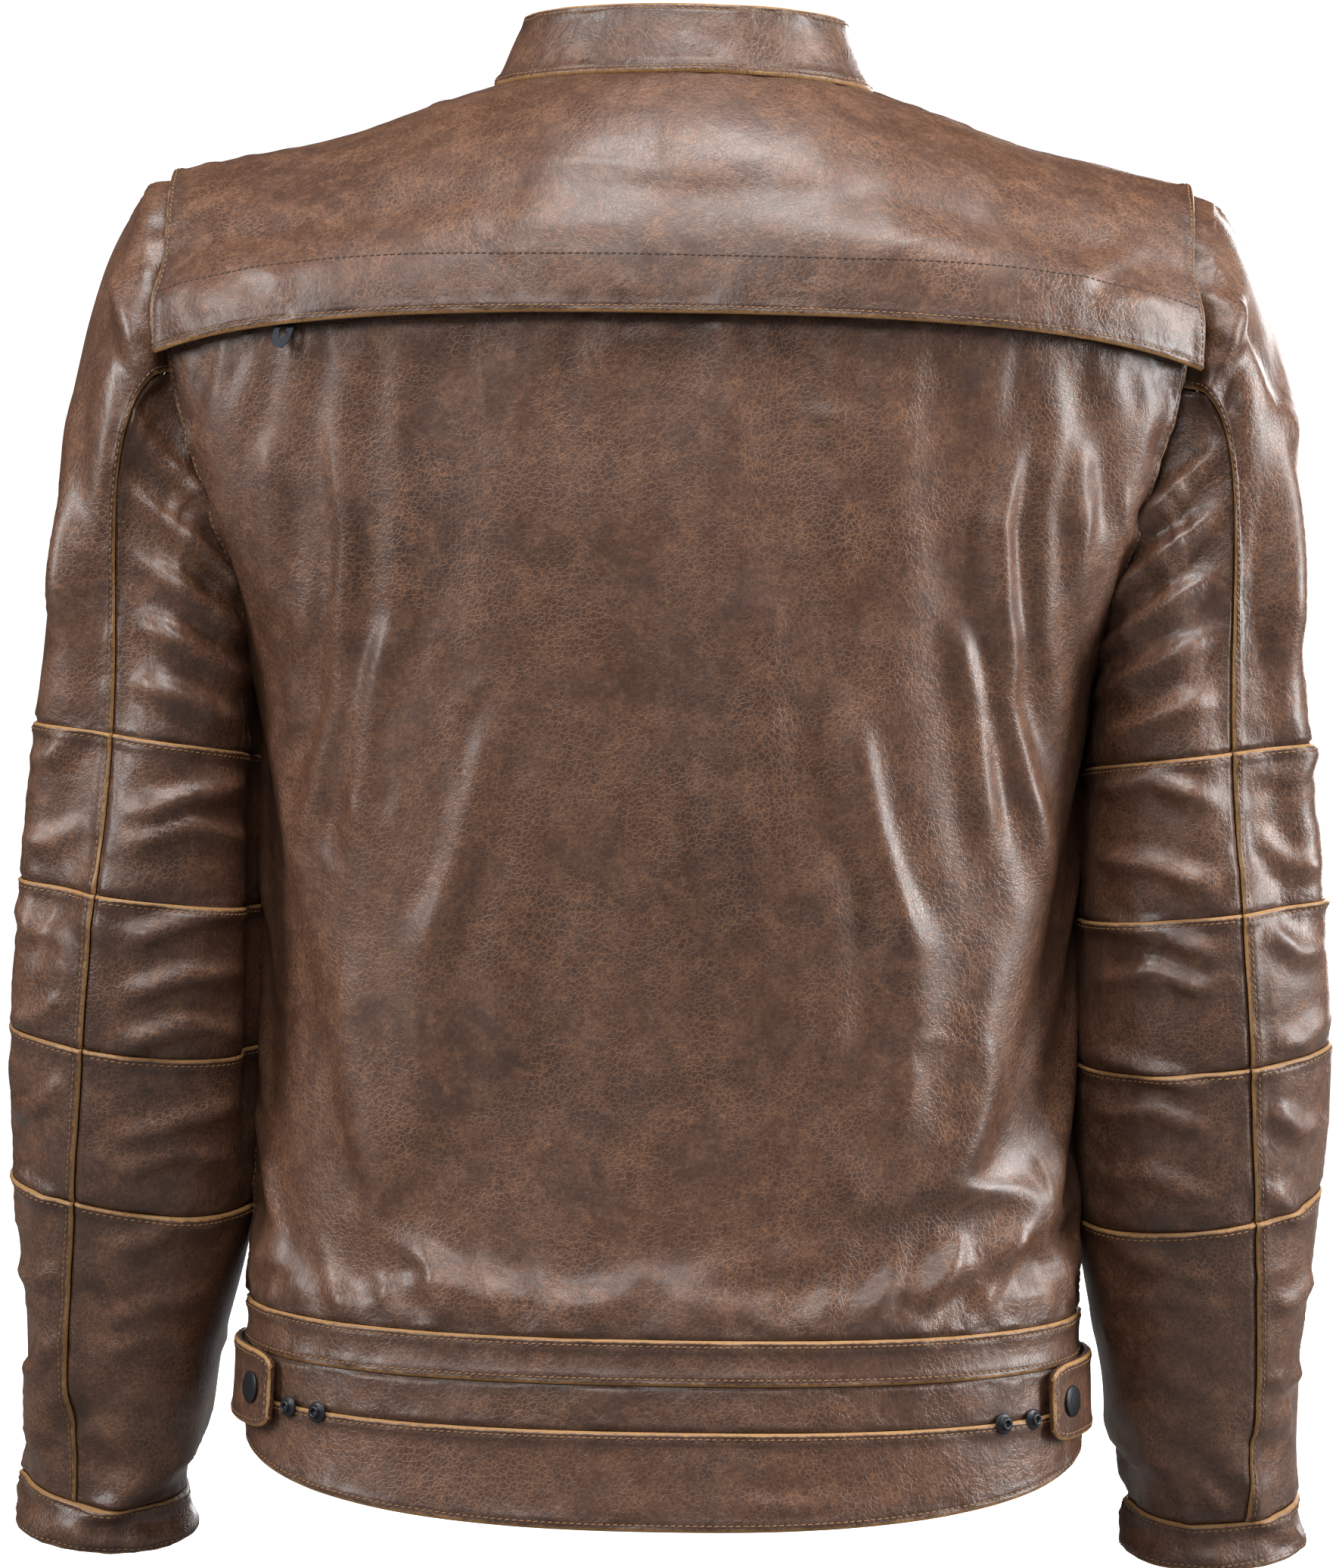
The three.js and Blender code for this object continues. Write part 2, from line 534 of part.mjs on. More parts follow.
const ventRest = 4 / ventRadius - ventSweep;
const ventOut = ventPoint(ventRest, 1, 0).sub(ventPoint(ventRest, 0, 0));
const ventUp = ventPoint(ventRest, 0, 1).sub(ventPoint(ventRest, 0, 0));
const ventFrame = new THREE.Matrix4()
  .makeBasis(new THREE.Vector3().crossVectors(ventUp, ventOut), ventUp, ventOut)
  .setPosition(ventPoint(ventRest, 0, 0));
const VENT_SLIDER = { length: 12, width: 8.6, top: -0.2, post: 1.5, neck: 3.5, cap: 4.2 };
const ventBody = box(VENT_SLIDER.length, VENT_SLIDER.width, VENT_SLIDER.top - VENT.bottom);
ventBody.translate(0, 0, (VENT_SLIDER.top + VENT.bottom) / 2);
const ventPost = turned([
  [0, -0.6], [VENT_SLIDER.post, -0.6], [VENT_SLIDER.post, VENT_SLIDER.neck], [2.8, VENT_SLIDER.neck],
  [2.8, VENT_SLIDER.cap], [0, VENT_SLIDER.cap],
]);
place(add("vent_zip_slider", joined(ventBody, ventPost), "zip"), ventFrame);
const ringHole = Array.from({ length: 12 }, (_, k) => {
  const angle = (-2 * Math.PI * k) / 12;
  return [2.15 * Math.cos(angle), 2.15 * Math.sin(angle)];
});
const VENT_PULL = { length: 26, half: 4.2, lean: 24, tip: 12 };
const ventTag = plate(
  [[-3, 3], [3, 3], [VENT_PULL.half, -2], [VENT_PULL.half, 4 - VENT_PULL.length], [2.4, -VENT_PULL.length],
    [-2.4, -VENT_PULL.length], [-VENT_PULL.half, 4 - VENT_PULL.length], [-VENT_PULL.half, -2]],
  0.9,
  [ringHole, [[0, -15], [-2.2, -18.6], [0, -22.2], [2.2, -18.6]]],
).rotateX(-radians(VENT_PULL.tip)).translate(0, 0, 1.6);
place(
  add("vent_zip_pull", ventTag, "zip"),
  ventFrame.clone().multiply(new THREE.Matrix4().makeRotationZ(-radians(VENT_PULL.lean))),
);

// ---------------------------------------------------------------- collar and hang loop
add("collar_outer", sheet(collarSurface, 40, 3, 0.4, 0.4 - LEATHER), "leather");
add("collar_lining", sheet((u, v) => collarSurface(u, lerp(0.03, 1, v)), 40, 3, -1.9, -3.1), "lining");
const LOOP = { half: 27, thickness: 1.6, width: 7, rise: 2.4, foot: 5 };
const loopFace = LOOP.thickness / 2;
const loopRight = [
  [LOOP.half - 4, -loopFace], [LOOP.half, -LOOP.rise], [LOOP.half + LOOP.foot, -LOOP.rise],
  [LOOP.half + LOOP.foot, LOOP.thickness - LOOP.rise], [LOOP.half - 3, loopFace],
];
const loopLeft = loopRight.map(([x, y]) => [-x, y]).reverse();
const loopOutline = [...loopRight, ...loopLeft];
add("hang_loop", plate(loopOutline, LOOP.width), "lining");

// The snap tab that closes the collar: from the right end, over the left end.
const COLLAR_TAB = {
  from: 163, to: 191, // degrees round the neck
  low: 0.24, high: 0.82, // as shares of the collar's height
  endHeight: 0.62, // the collar's own height there, as a share of its full height
  standOff: 1.6, thickness: 2.6, snapU: 0.8,
};
function collarTabSurface(u, v) {
  const angle = radians(lerp(COLLAR_TAB.to, COLLAR_TAB.from, 1 - u));
  const pointed = clamp01((u - 0.72) / 0.28);
  const half = ((COLLAR_TAB.high - COLLAR_TAB.low) / 2) * (1 - 0.45 * pointed ** 2);
  const middle = (COLLAR_TAB.high + COLLAR_TAB.low) / 2;
  const height = middle + half * (2 * v - 1);
  const seam = neckPoint(angle > Math.PI ? angle - 2 * Math.PI : angle);
  const rise = (1 - height) * COLLAR.height * COLLAR_TAB.endHeight;
  const shrink = 1 - ((COLLAR.lean / NECK.halfX) * rise) / COLLAR.height;
  return new THREE.Vector3(
    seam.x * shrink,
    AXIS_Y + (seam.y - AXIS_Y) * shrink - 0.35 * rise * (1 - Math.cos(angle)) * 0.5,
    seam.z + COLLAR.clear + rise,
  );
}
const collarOut = COLLAR_TAB.standOff + COLLAR_TAB.thickness;
add("collar_tab", sheet(collarTabSurface, 10, 2, collarOut, COLLAR_TAB.standOff), "leather");
const collarSnapAxes = surfaceAxes(collarTabSurface, COLLAR_TAB.snapU, 0.5);
const collarSnap = turned([
  [0, collarOut + 0.3], [6.2, collarOut + 0.3], [6, collarOut + 1.1],
  [4.5, collarOut + 1.8], [0, collarOut + 2],
]);
place(add("collar_snap", collarSnap, "snap"), collarSnapAxes);

// ---------------------------------------------------------------- body lining
// A vest with armholes and an open front: back, side strips below the arms, and both fronts.
const LINING = {
  depth: -12, thickness: 1.2, bottom: -618, armhole: -292,
  backColumns: 8, sideColumns: 2, frontColumns: 5, rows: 11, armholeRows: 6,
  sideAngle: radians(64), centreGap: radians(7), belowBack: 14, belowFront: 19, measuredAt: -20,
};
const liningColumns = 2 * (LINING.frontColumns + LINING.sideColumns) + LINING.backColumns;
const LINING_BACK = LINING.backColumns / 2;

// The angle of a lining column, counted from the centre back, at height z.
function liningAngle(column, z) {
  const backEdge = Math.min(edgeAngle(z) - radians(2), LINING.sideAngle);
  const frontEdge = Math.PI - backEdge;
  if (column <= LINING_BACK) return (column / LINING_BACK) * backEdge;
  const t = (column - LINING_BACK) / LINING.sideColumns;
  if (t <= 1) return lerp(backEdge, frontEdge, t);
  return lerp(frontEdge, Math.PI - LINING.centreGap, (t - 1) * (LINING.sideColumns / LINING.frontColumns));
}

// The top edge of a lining column: below the neck seam and the shoulder ridge.
function liningTop(column) {
  const angle = liningAngle(column, ARMHOLE.top);
  const x = halfWidth(LINING.measuredAt) * Math.sin(angle) ** (2 / SECTION_POWER);
  const front = angle > Math.PI / 2;
  const neckAngle = Math.asin(Math.min(1, x / NECK.halfX));
  const neck = neckPoint(front ? Math.PI - neckAngle : neckAngle).z;
  const ridge = shoulderRidge(Math.min(x, armholeX(ARMHOLE.top)));
  return Math.min(ridge, neck) - (front ? LINING.belowFront : LINING.belowBack);
}

function liningSurface(u, v) {
  const column = u * liningColumns - liningColumns / 2;
  const row = v * LINING.rows;
  const below = (row - LINING.armholeRows) / (LINING.rows - LINING.armholeRows);
  const above = (row / LINING.armholeRows) ** 1.5;
  const top = liningTop(Math.abs(column));
  const z = below < 0 ? lerp(top, LINING.armhole, above) : lerp(LINING.armhole, LINING.bottom, below);
  return torsoPoint((Math.sign(column) || 1) * liningAngle(Math.abs(column), z), z);
}

// The side strips start below the armholes.
function liningKeep(i, j) {
  const column = Math.abs(i + 0.5 - liningColumns / 2);
  return j >= LINING.armholeRows || column < LINING_BACK || column > LINING_BACK + LINING.sideColumns;
}

const liningInner = LINING.depth - LINING.thickness;
const liningCells = { keep: liningKeep };
const bodyLining = sheet(liningSurface, liningColumns, LINING.rows, LINING.depth, liningInner, liningCells);
add("body_lining", bodyLining, "lining");

// ---------------------------------------------------------------- sleeves
const SLEEVE = { bands: [-307, -378, -444, -515], cuff: -665, end: -687, frontSeam: -75 };
const sleeveX = profile([[-300, 252], [-430, 256], [-515, 258], [-600, 265], [-690, 268]]);
const sleeveY = profile([[-300, 0], [-380, -3], [-430, -1], [-515, 13], [-600, 32], [-690, 52]]);
const sleeveHalfX = profile([[-300, 54], [-430, 59], [-515, 55], [-600, 46], [-690, 43]]);
const sleeveHalfY = profile([[-300, 74], [-380, 69], [-430, 64], [-515, 57], [-600, 47], [-690, 43]]);
const sleeveTilt = profile([[-300, 0], [-400, 5], [-480, 12], [-690, 13]]);
const sleeveLateral = profile([[-300, 7.5], [-450, 7], [-520, 9], [-690, 2]]);
const backSeam = profile([[ARMHOLE.bottom, 80], [-378, 79], [-444, 76], [-515, 72.5], [-690, 72.5]]);

// A ring of the right sleeve: 0 degrees is its outer side, 90 its back, 180 its inner side.
function sleeveRing(angle, z) {
  const tilt = radians(sleeveTilt(z));
  const back = sleeveHalfY(z) * Math.sin(angle);
  return new THREE.Vector3(
    sleeveX(z) + sleeveHalfX(z) * Math.cos(angle),
    AXIS_Y + sleeveY(z) - back * Math.cos(tilt),
    z - back * Math.sin(tilt) + sleeveLateral(z) * Math.cos(angle),
  );
}

// The armhole seam of the right side, by the same angle.
function armholePoint(angle) {
  const middle = (ARMHOLE.top + ARMHOLE.bottom) / 2;
  const z = middle + ((ARMHOLE.top - ARMHOLE.bottom) / 2 - 0.05) * Math.cos(angle);
  const edge = edgeAngle(z);
  return torsoPoint(Math.sin(angle) >= 0 ? edge : Math.PI - edge, z);
}

// The sleeve head runs from the armhole (t 0) to the first elbow seam (t 1).
function sleeveHead(angle, t) {
  const outer = (1 + Math.cos(angle)) / 2;
  const start = armholePoint(angle).add(new THREE.Vector3(1.4, 0, 0));
  const end = sleeveRing(angle, SLEEVE.bands[0]);
  const spring = new THREE.Vector3(lerp(3, 50, outer), -8 * Math.sin(angle), lerp(-12, -14, outer));
  const first = start.clone().add(spring);
  const second = end.clone().add(new THREE.Vector3(-5 * outer, 0, lerp(14, 100, outer)));
  const curve = new THREE.CubicBezierCurve3(start, first, second, end);
  return curve.getPoint(t);
}
const SEAM_ANGLE = radians(0.4);
const HEAD_END = 0.995; // the sleeve head stops just above the first elbow seam
const head = { zAt: () => SLEEVE.bands[0], at: (angle, v) => sleeveHead(angle, v * HEAD_END) };

// The part of a sleeve between two rings: its surface, and the height of each row.
function betweenRings(top, bottom) {
  const zAt = (v) => lerp(top - SEAM_GAP / 2, bottom + SEAM_GAP / 2, v);
  return { zAt, at: (angle, v) => sleeveRing(angle, zAt(v)) };
}

const mirrored = (point, side) => point.setX(point.x * side);

// One leather piece of a sleeve, from one long seam to the other.
function sleevePiece(side, part, { zAt, at }, columns, rows) {
  const surface = (u, v) => {
    const back = radians(backSeam(zAt(v)));
    const front = radians(SLEEVE.frontSeam);
    const [from, to] = part === "outer" ? [front, back] : [back, front + 2 * Math.PI];
    return mirrored(at(lerp(from + SEAM_ANGLE, to - SEAM_ANGLE, u), v), side);
  };
  return sheet(surface, columns, rows, 0, -LEATHER, { flip: side > 0 });
}

function sleeveTube(side, at, columns, rows, outer, inner) {
  const surface = (u, v) => mirrored(at(2 * Math.PI * u, v), side);
  return sheet(surface, columns, rows, outer, inner, { wrap: true, flip: side > 0 });
}

// The lining follows the head and then the rings, a little short of both ends.
const SLEEVE_LINING = { outer: -11, inner: -12.2, from: 0.08, split: 0.45, shortBy: 12 };
function sleeveLining(angle, v) {
  const { from, split, shortBy } = SLEEVE_LINING;
  if (v < split) return sleeveHead(angle, lerp(from, 1, v / split));
  return sleeveRing(angle, lerp(SLEEVE.bands[0], SLEEVE.end + shortBy, (v - split) / (1 - split)));
}

const ARMOUR = {
  fromAngle: 45, toAngle: 135, top: -376, bottom: -504, face: -3.2, edge: -9, crown: 4.5, back: -9.8,
};
function armourFace(u, v) {
  const bulge = (1 - (2 * u - 1) ** 2) * (1 - (2 * v - 1) ** 2);
  return Math.min(ARMOUR.face, ARMOUR.edge + ARMOUR.crown * bulge);
}

const OUTER_COLUMNS = 9;
const UNDER_COLUMNS = 12;
const CUFF_RAISED = 0.8;
for (const [name, side] of SIDES) {
  add(`sleeve_upper_outer_${name}`, sleevePiece(side, "outer", head, 10, 9), "leather");
  add(`sleeve_upper_under_${name}`, sleevePiece(side, "under", head, 14, 7), "leather");
  for (const part of ["outer", "under"]) {
    const columns = part === "outer" ? OUTER_COLUMNS : UNDER_COLUMNS;
    for (let band = 0; band < 3; band++) {
      const rings = betweenRings(SLEEVE.bands[band], SLEEVE.bands[band + 1]);
      add(`elbow_${part}_${band + 1}_${name}`, sleevePiece(side, part, rings, columns, 2), "leather");
    }
    const forearm = betweenRings(SLEEVE.bands[3], SLEEVE.cuff);
    add(`forearm_${part}_${name}`, sleevePiece(side, part, forearm, columns, 4), "leather");
  }
  const cuff = betweenRings(SLEEVE.cuff, SLEEVE.end);
  add(`cuff_${name}`, sleeveTube(side, cuff.at, 22, 1, CUFF_RAISED, CUFF_RAISED - LEATHER), "leather");
  const lining = sleeveTube(side, sleeveLining, 14, 9, SLEEVE_LINING.outer, SLEEVE_LINING.inner);
  add(`sleeve_lining_${name}`, lining, "lining");
  const padSurface = (u, v) => {
    const angle = radians(lerp(ARMOUR.fromAngle, ARMOUR.toAngle, u));
    return mirrored(sleeveRing(angle, lerp(ARMOUR.top, ARMOUR.bottom, v)), side);
  };
  const pad = sheet(padSurface, 8, 5, armourFace, ARMOUR.back, { flip: side > 0 });
  add(`elbow_armour_${name}`, pad, "armour");
}

export default jacket;
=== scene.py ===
"""A leather riding jacket: the looks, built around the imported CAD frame.

Shapes are worked out in millimetres and scaled to metres when a mesh is made.
The panels follow the same surfaces as the CAD panels, with the leather's folds, seams and stitches added.
"""

import math

import bpy
import numpy as np
from mathutils import Matrix, Vector, kdtree


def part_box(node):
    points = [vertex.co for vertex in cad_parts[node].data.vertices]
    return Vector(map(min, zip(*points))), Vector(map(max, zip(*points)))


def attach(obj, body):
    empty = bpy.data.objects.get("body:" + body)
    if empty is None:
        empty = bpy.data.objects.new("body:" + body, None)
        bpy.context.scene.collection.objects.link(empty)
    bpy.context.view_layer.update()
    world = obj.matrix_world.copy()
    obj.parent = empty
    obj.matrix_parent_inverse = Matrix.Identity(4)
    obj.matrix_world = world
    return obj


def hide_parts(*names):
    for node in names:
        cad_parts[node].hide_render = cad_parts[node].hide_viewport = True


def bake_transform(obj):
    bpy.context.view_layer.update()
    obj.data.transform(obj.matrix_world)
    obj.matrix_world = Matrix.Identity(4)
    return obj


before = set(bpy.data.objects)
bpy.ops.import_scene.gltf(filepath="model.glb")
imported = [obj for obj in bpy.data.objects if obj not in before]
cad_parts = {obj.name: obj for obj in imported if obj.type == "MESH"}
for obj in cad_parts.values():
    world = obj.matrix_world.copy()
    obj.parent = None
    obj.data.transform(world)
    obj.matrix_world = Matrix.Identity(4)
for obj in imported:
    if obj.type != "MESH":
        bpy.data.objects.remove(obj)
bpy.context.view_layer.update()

MM = 0.001
LEATHER = 1.8  # thickness
SEAM_GAP = 0.8
AXIS_Y = 62.0
POWER = 2.4
NECK_X, NECK_BACK, NECK_FRONT, NECK_RISE, NECK_SIDE_DROP, NECK_DROP = 88.0, 75.0, 74.0, 6.0, 1.0, 78.0
COLLAR_HEIGHT, COLLAR_LEAN, COLLAR_END, COLLAR_CLEAR = 31.0, 13.0, 4.0, 1.6
ARMHOLE_TOP, ARMHOLE_BOTTOM = -38.0, -275.0
SIDES = (("left", -1), ("right", 1))


# ---------------------------------------------------------------- small maths
def lerp(a, b, t):
    return a + (b - a) * t


def smooth(t):
    t = np.clip(t, 0, 1)
    return t * t * (3 - 2 * t)


def signed_power(value, power):
    return np.sign(value) * np.abs(value) ** power


def profile(*knots):
    """A smooth curve through (position, value) knots."""
    places, values = np.array(sorted(knots), float).T
    last = len(places) - 1
    before = np.maximum(np.arange(last + 1) - 1, 0)
    after = np.minimum(np.arange(last + 1) + 1, last)
    slopes = (values[after] - values[before]) / (places[after] - places[before])

    def at(position):
        position = np.clip(position, places[0], places[-1])
        i = np.clip(np.searchsorted(places, position, side="right") - 1, 0, last - 1)
        span = places[i + 1] - places[i]
        t = (position - places[i]) / span
        h = t * t * (3 - 2 * t)
        bend = span * (slopes[i] * t * (1 - t) ** 2 - slopes[i + 1] * t * t * (1 - t))
        return values[i] * (1 - h) + values[i + 1] * h + bend

    return at


def unit(vectors):
    return vectors / np.maximum(np.linalg.norm(vectors, axis=-1, keepdims=True), 1e-9)


def hash_grid(ix, iy, iz):
    """Repeatable random values from -1 to 1 on a lattice."""
    n = (ix * 374761393 + iy * 668265263 + iz * 2147483647) & 0xFFFFFFFF
    n = ((n ^ (n >> 13)) * 1274126177) & 0xFFFFFFFF
    n = n ^ (n >> 16)
    return (n & 0xFFFF) / 32767.5 - 1


def noise(points, size, seed=0):
    """Smooth noise from about -1 to 1, with lumps of the given size."""
    p = points / size + seed * 17.3
    cell = np.floor(p).astype(np.int64)
    f = p - cell
    f = f * f * f * (f * (f * 6 - 15) + 10)
    total = 0.0
    for dx in (0, 1):
        for dy in (0, 1):
            for dz in (0, 1):
                weight = np.abs(1 - dx - f[..., 0]) * np.abs(1 - dy - f[..., 1]) * np.abs(1 - dz - f[..., 2])
                total = total + weight * hash_grid(cell[..., 0] + dx, cell[..., 1] + dy, cell[..., 2] + dz)
    return total


# ---------------------------------------------------------------- torso surface
half_width = profile(
    (0, 270), (-90, 268), (-140, 259), (-200, 236), (-240, 215), (-275, 198),
    (-350, 196), (-450, 193), (-525, 195), (-580, 197), (-640, 199), (-700, 203))
back_depth = profile(
    (0, 118), (-60, 124), (-140, 132), (-200, 134), (-280, 129),
    (-380, 119), (-470, 114), (-560, 117), (-700, 124))
shoulder_ridge = profile(
    (0, 28), (60, 18), (88, 5), (101, 1), (121, -6),
    (154, -18), (180, -25), (209, -31), (242, -38), (275, -46))
armhole_x = profile((-38, 242), (-90, 240), (-140, 236), (-200, 218), (-240, 205), (-275, 198))


def front_depth(z):
    return 74 + (-72 - z) * 46 / 568


def edge_angle(z):
    x = np.where(z > ARMHOLE_BOTTOM, armhole_x(z), half_width(z))
    return np.arcsin(np.minimum(1, (x / half_width(z)) ** (POWER / 2)))


def shoulder_round(x, z, front):
    rounding = np.where(front, 70 + 70 * smooth(np.abs(x) / 90), 95)
    below = np.clip((shoulder_ridge(np.abs(x)) - z) / rounding, 0, 1)
    return np.sqrt(1 - (1 - below) ** 2)


def torso(angle, z):
    front = np.cos(angle) < 0
    x = half_width(z) * signed_power(np.sin(angle), 2 / POWER)
    depth = np.where(front, front_depth(z), back_depth(z))
    y = -depth * signed_power(np.cos(angle), 2 / POWER) * shoulder_round(x, z, front)
    return np.stack([x, AXIS_Y + y, z + 0 * x], -1)


def neck(angle):
    depth = np.where(np.cos(angle) < 0, NECK_FRONT, NECK_BACK)
    drop = NECK_SIDE_DROP * np.sin(angle) ** 2 + NECK_DROP * np.maximum(0, -np.cos(angle)) ** 1.5
    return np.stack([NECK_X * np.sin(angle), AXIS_Y - depth * np.cos(angle), NECK_RISE - drop], -1)


def across(u):
    return 2 * u - 1


def bow(u):
    return np.cos(across(u) * math.pi / 2)


def yoke_edge(u):
    return -112 - 17 * np.abs(across(u)) ** 2.2


def waist_seam(u, step):
    return lerp(-570, -580, bow(u)) - 21 * step


def hem_edge(u):
    return lerp(-633, -667, bow(u))


def back_strip(top, bottom, trim=math.radians(0.15)):
    def at(u, v):
        z = lerp(top(u), bottom(u), v)
        return torso(across(u) * (edge_angle(z) - trim), z)

    return at


def shoulder_panel(angle_at, bottom_at, ease):
    """Starts on the neck seam or the shoulder ridge, and eases from there onto the torso."""

    def at(u, v):
        top_angle = angle_at(u, ARMHOLE_TOP)
        x = half_width(ARMHOLE_TOP) * signed_power(np.sin(top_angle), 2 / POWER)
        ridge = shoulder_ridge(np.abs(x)) - 0.01
        inside = np.abs(x) < NECK_X
        turn = np.arcsin(np.clip(x / NECK_X, -1, 1))
        neck_point = neck(np.where(np.cos(top_angle) < 0, math.pi - turn, turn))
        top = np.where(inside, np.minimum(ridge, neck_point[..., 2]), ridge)
        z = lerp(top, bottom_at(u), v ** 1.8)
        point = torso(angle_at(u, z), z)
        start = torso(angle_at(u, top), top)
        fade = (1 - smooth(v / ease)) * inside
        return point + (neck_point - start) * fade[..., None]

    return at


# ---------------------------------------------------------------- sleeve surface, wearer's right
sleeve_x = profile((-300, 252), (-430, 256), (-515, 258), (-600, 265), (-690, 268))
sleeve_y = profile((-300, 0), (-380, -3), (-430, -1), (-515, 13), (-600, 32), (-690, 52))
sleeve_half_x = profile((-300, 54), (-430, 59), (-515, 55), (-600, 46), (-690, 43))
sleeve_half_y = profile((-300, 74), (-380, 69), (-430, 64), (-515, 57), (-600, 47), (-690, 43))
sleeve_tilt = profile((-300, 0), (-400, 5), (-480, 12), (-690, 13))
sleeve_lateral = profile((-300, 7.5), (-450, 7), (-520, 9), (-690, 2))
back_seam = profile((-275, 80), (-378, 79), (-444, 76), (-515, 72.5), (-690, 72.5))
BANDS, CUFF_TOP, CUFF_END, FRONT_SEAM = (-307.0, -378.0, -444.0, -515.0), -665.0, -687.0, -75.0


def sleeve_ring(angle, z):
    tilt = np.radians(sleeve_tilt(z))
    back = sleeve_half_y(z) * np.sin(angle)
    return np.stack([
        sleeve_x(z) + sleeve_half_x(z) * np.cos(angle),
        AXIS_Y + sleeve_y(z) - back * np.cos(tilt),
        z - back * np.sin(tilt) + sleeve_lateral(z) * np.cos(angle)], -1)


def armhole(angle):
    z = (ARMHOLE_TOP + ARMHOLE_BOTTOM) / 2 + ((ARMHOLE_TOP - ARMHOLE_BOTTOM) / 2 - 0.05) * np.cos(angle)
    edge = edge_angle(z)
    return torso(np.where(np.sin(angle) >= 0, edge, math.pi - edge), z)


def sleeve_head(angle, t):
    outer = (1 + np.cos(angle)) / 2
    zero = 0 * outer
    start = armhole(angle) + np.array([1.4, 0, 0])
    end = sleeve_ring(angle, BANDS[0] + zero)
    first = start + np.stack([lerp(3, 50, outer), -8 * np.sin(angle), lerp(-12, -14, outer)], -1)
    second = end + np.stack([-5 * outer, zero, lerp(14, 100, outer)], -1)
    t = (t + zero)[..., None]
    s = 1 - t
    curve = s ** 3 * start + 3 * s * s * t * first + 3 * s * t * t * second + t ** 3 * end
    tuck = np.stack([-8 - zero, 4.5 * np.sin(angle), -3.4 * np.cos(angle)], -1)
    return curve + tuck * (1 - smooth(t / 0.08))


# ---------------------------------------------------------------- meshes
def make_object(name, points, faces, slots, materials, attributes=None):
    """An object from points in mm, four-cornered faces and one material index per face."""
    mesh = bpy.data.meshes.new(name)
    mesh.vertices.add(len(points))
    mesh.vertices.foreach_set("co", (points * MM).astype(np.float32).ravel())
    mesh.loops.add(len(faces) * 4)
    mesh.loops.foreach_set("vertex_index", faces.astype(np.int32).ravel())
    mesh.polygons.add(len(faces))
    mesh.polygons.foreach_set("loop_start", np.arange(0, len(faces) * 4, 4, dtype=np.int32))
    mesh.polygons.foreach_set("material_index", slots.astype(np.int32))
    mesh.update(calc_edges=True)
    mesh.polygons.foreach_set("use_smooth", np.ones(len(faces), bool))
    for material in materials:
        mesh.materials.append(material)
    rest = mesh.attributes.new("rest", "FLOAT_VECTOR", "POINT")
    rest.data.foreach_set("vector", (points * MM).astype(np.float32).ravel())
    for key, values in (attributes or {}).items():
        layer = mesh.attributes.new(key, "FLOAT", "POINT")
        layer.data.foreach_set("value", values.astype(np.float32))
    mesh.validate()
    piece = bpy.data.objects.new(name, mesh)
    bpy.context.scene.collection.objects.link(piece)
    return piece


def grid_faces(rows, columns, wrap=False):
    """Faces of a grid of rows x columns points, rows first."""
    j, i = np.meshgrid(np.arange(rows - 1), np.arange(columns if wrap else columns - 1), indexing="ij")
    k = (i + 1) % columns
    corners = [j * columns + i, (j + 1) * columns + i, (j + 1) * columns + k, j * columns + k]
    return np.stack(corners, -1).reshape(-1, 4)


def grid_normals(points, wrap=False):
    if wrap:
        padded = np.concatenate([points[:, -1:], points, points[:, :1]], 1)
        along = (padded[:, 2:] - padded[:, :-2])
    else:
        along = np.gradient(points, axis=1)
    down = np.gradient(points, axis=0)
    return unit(np.cross(down, along))


EDGE_TICKS = np.array([0, 0.5, 1.1, 1.8, 2.6, 3.4, 4.4, 5.8, 7.6])


def ticks(length, step, wrap=False):
    """Places from 0 to 1 along a length: close together near both ends, and a step apart between."""
    if wrap:
        count = max(8, int(round(length / step)))
        return np.arange(count) / count
    edge = EDGE_TICKS[EDGE_TICKS < length * 0.3]
    first, last = edge[-1], length - edge[-1]
    middle = np.linspace(first, last, max(2, int(round((last - first) / step)) + 1))
    return np.concatenate([edge[:-1], middle, (length - edge[::-1])[1:]]) / length


def run_length(points, axis):
    steps = np.linalg.norm(np.diff(points, axis=axis), axis=-1)
    zero = np.zeros_like(np.take(steps, [0], axis=axis))
    return np.concatenate([zero, np.cumsum(steps, axis=axis)], axis=axis)


# How an edge is finished: its height above the panel against the distance in from the edge, in mm.
def edge_over(d):
    roll = -1.5 * np.exp(-((d / 0.7) ** 2))
    ridge = 1.0 * (1 - smooth((d - 3.6) / 3.4))
    groove = -0.45 * np.exp(-(((d - 3.0) / 0.75) ** 2))
    return roll + ridge + groove


def edge_under(d):
    return -1.1 * np.exp(-((d / 1.5) ** 2))


def edge_free(d):
    roll = -1.3 * np.exp(-((d / 0.8) ** 2))
    ridge = 0.5 * (1 - smooth((d - 3.4) / 3.0))
    groove = -0.4 * np.exp(-(((d - 3.0) / 0.75) ** 2))
    return roll + ridge + groove


def edge_plain(d):
    return -1.2 * np.exp(-((d / 0.8) ** 2))


EDGES = {"over": edge_over, "under": edge_under, "free": edge_free, "plain": edge_plain}
STITCH_IN, STITCH_PITCH = 3.0, 3.3


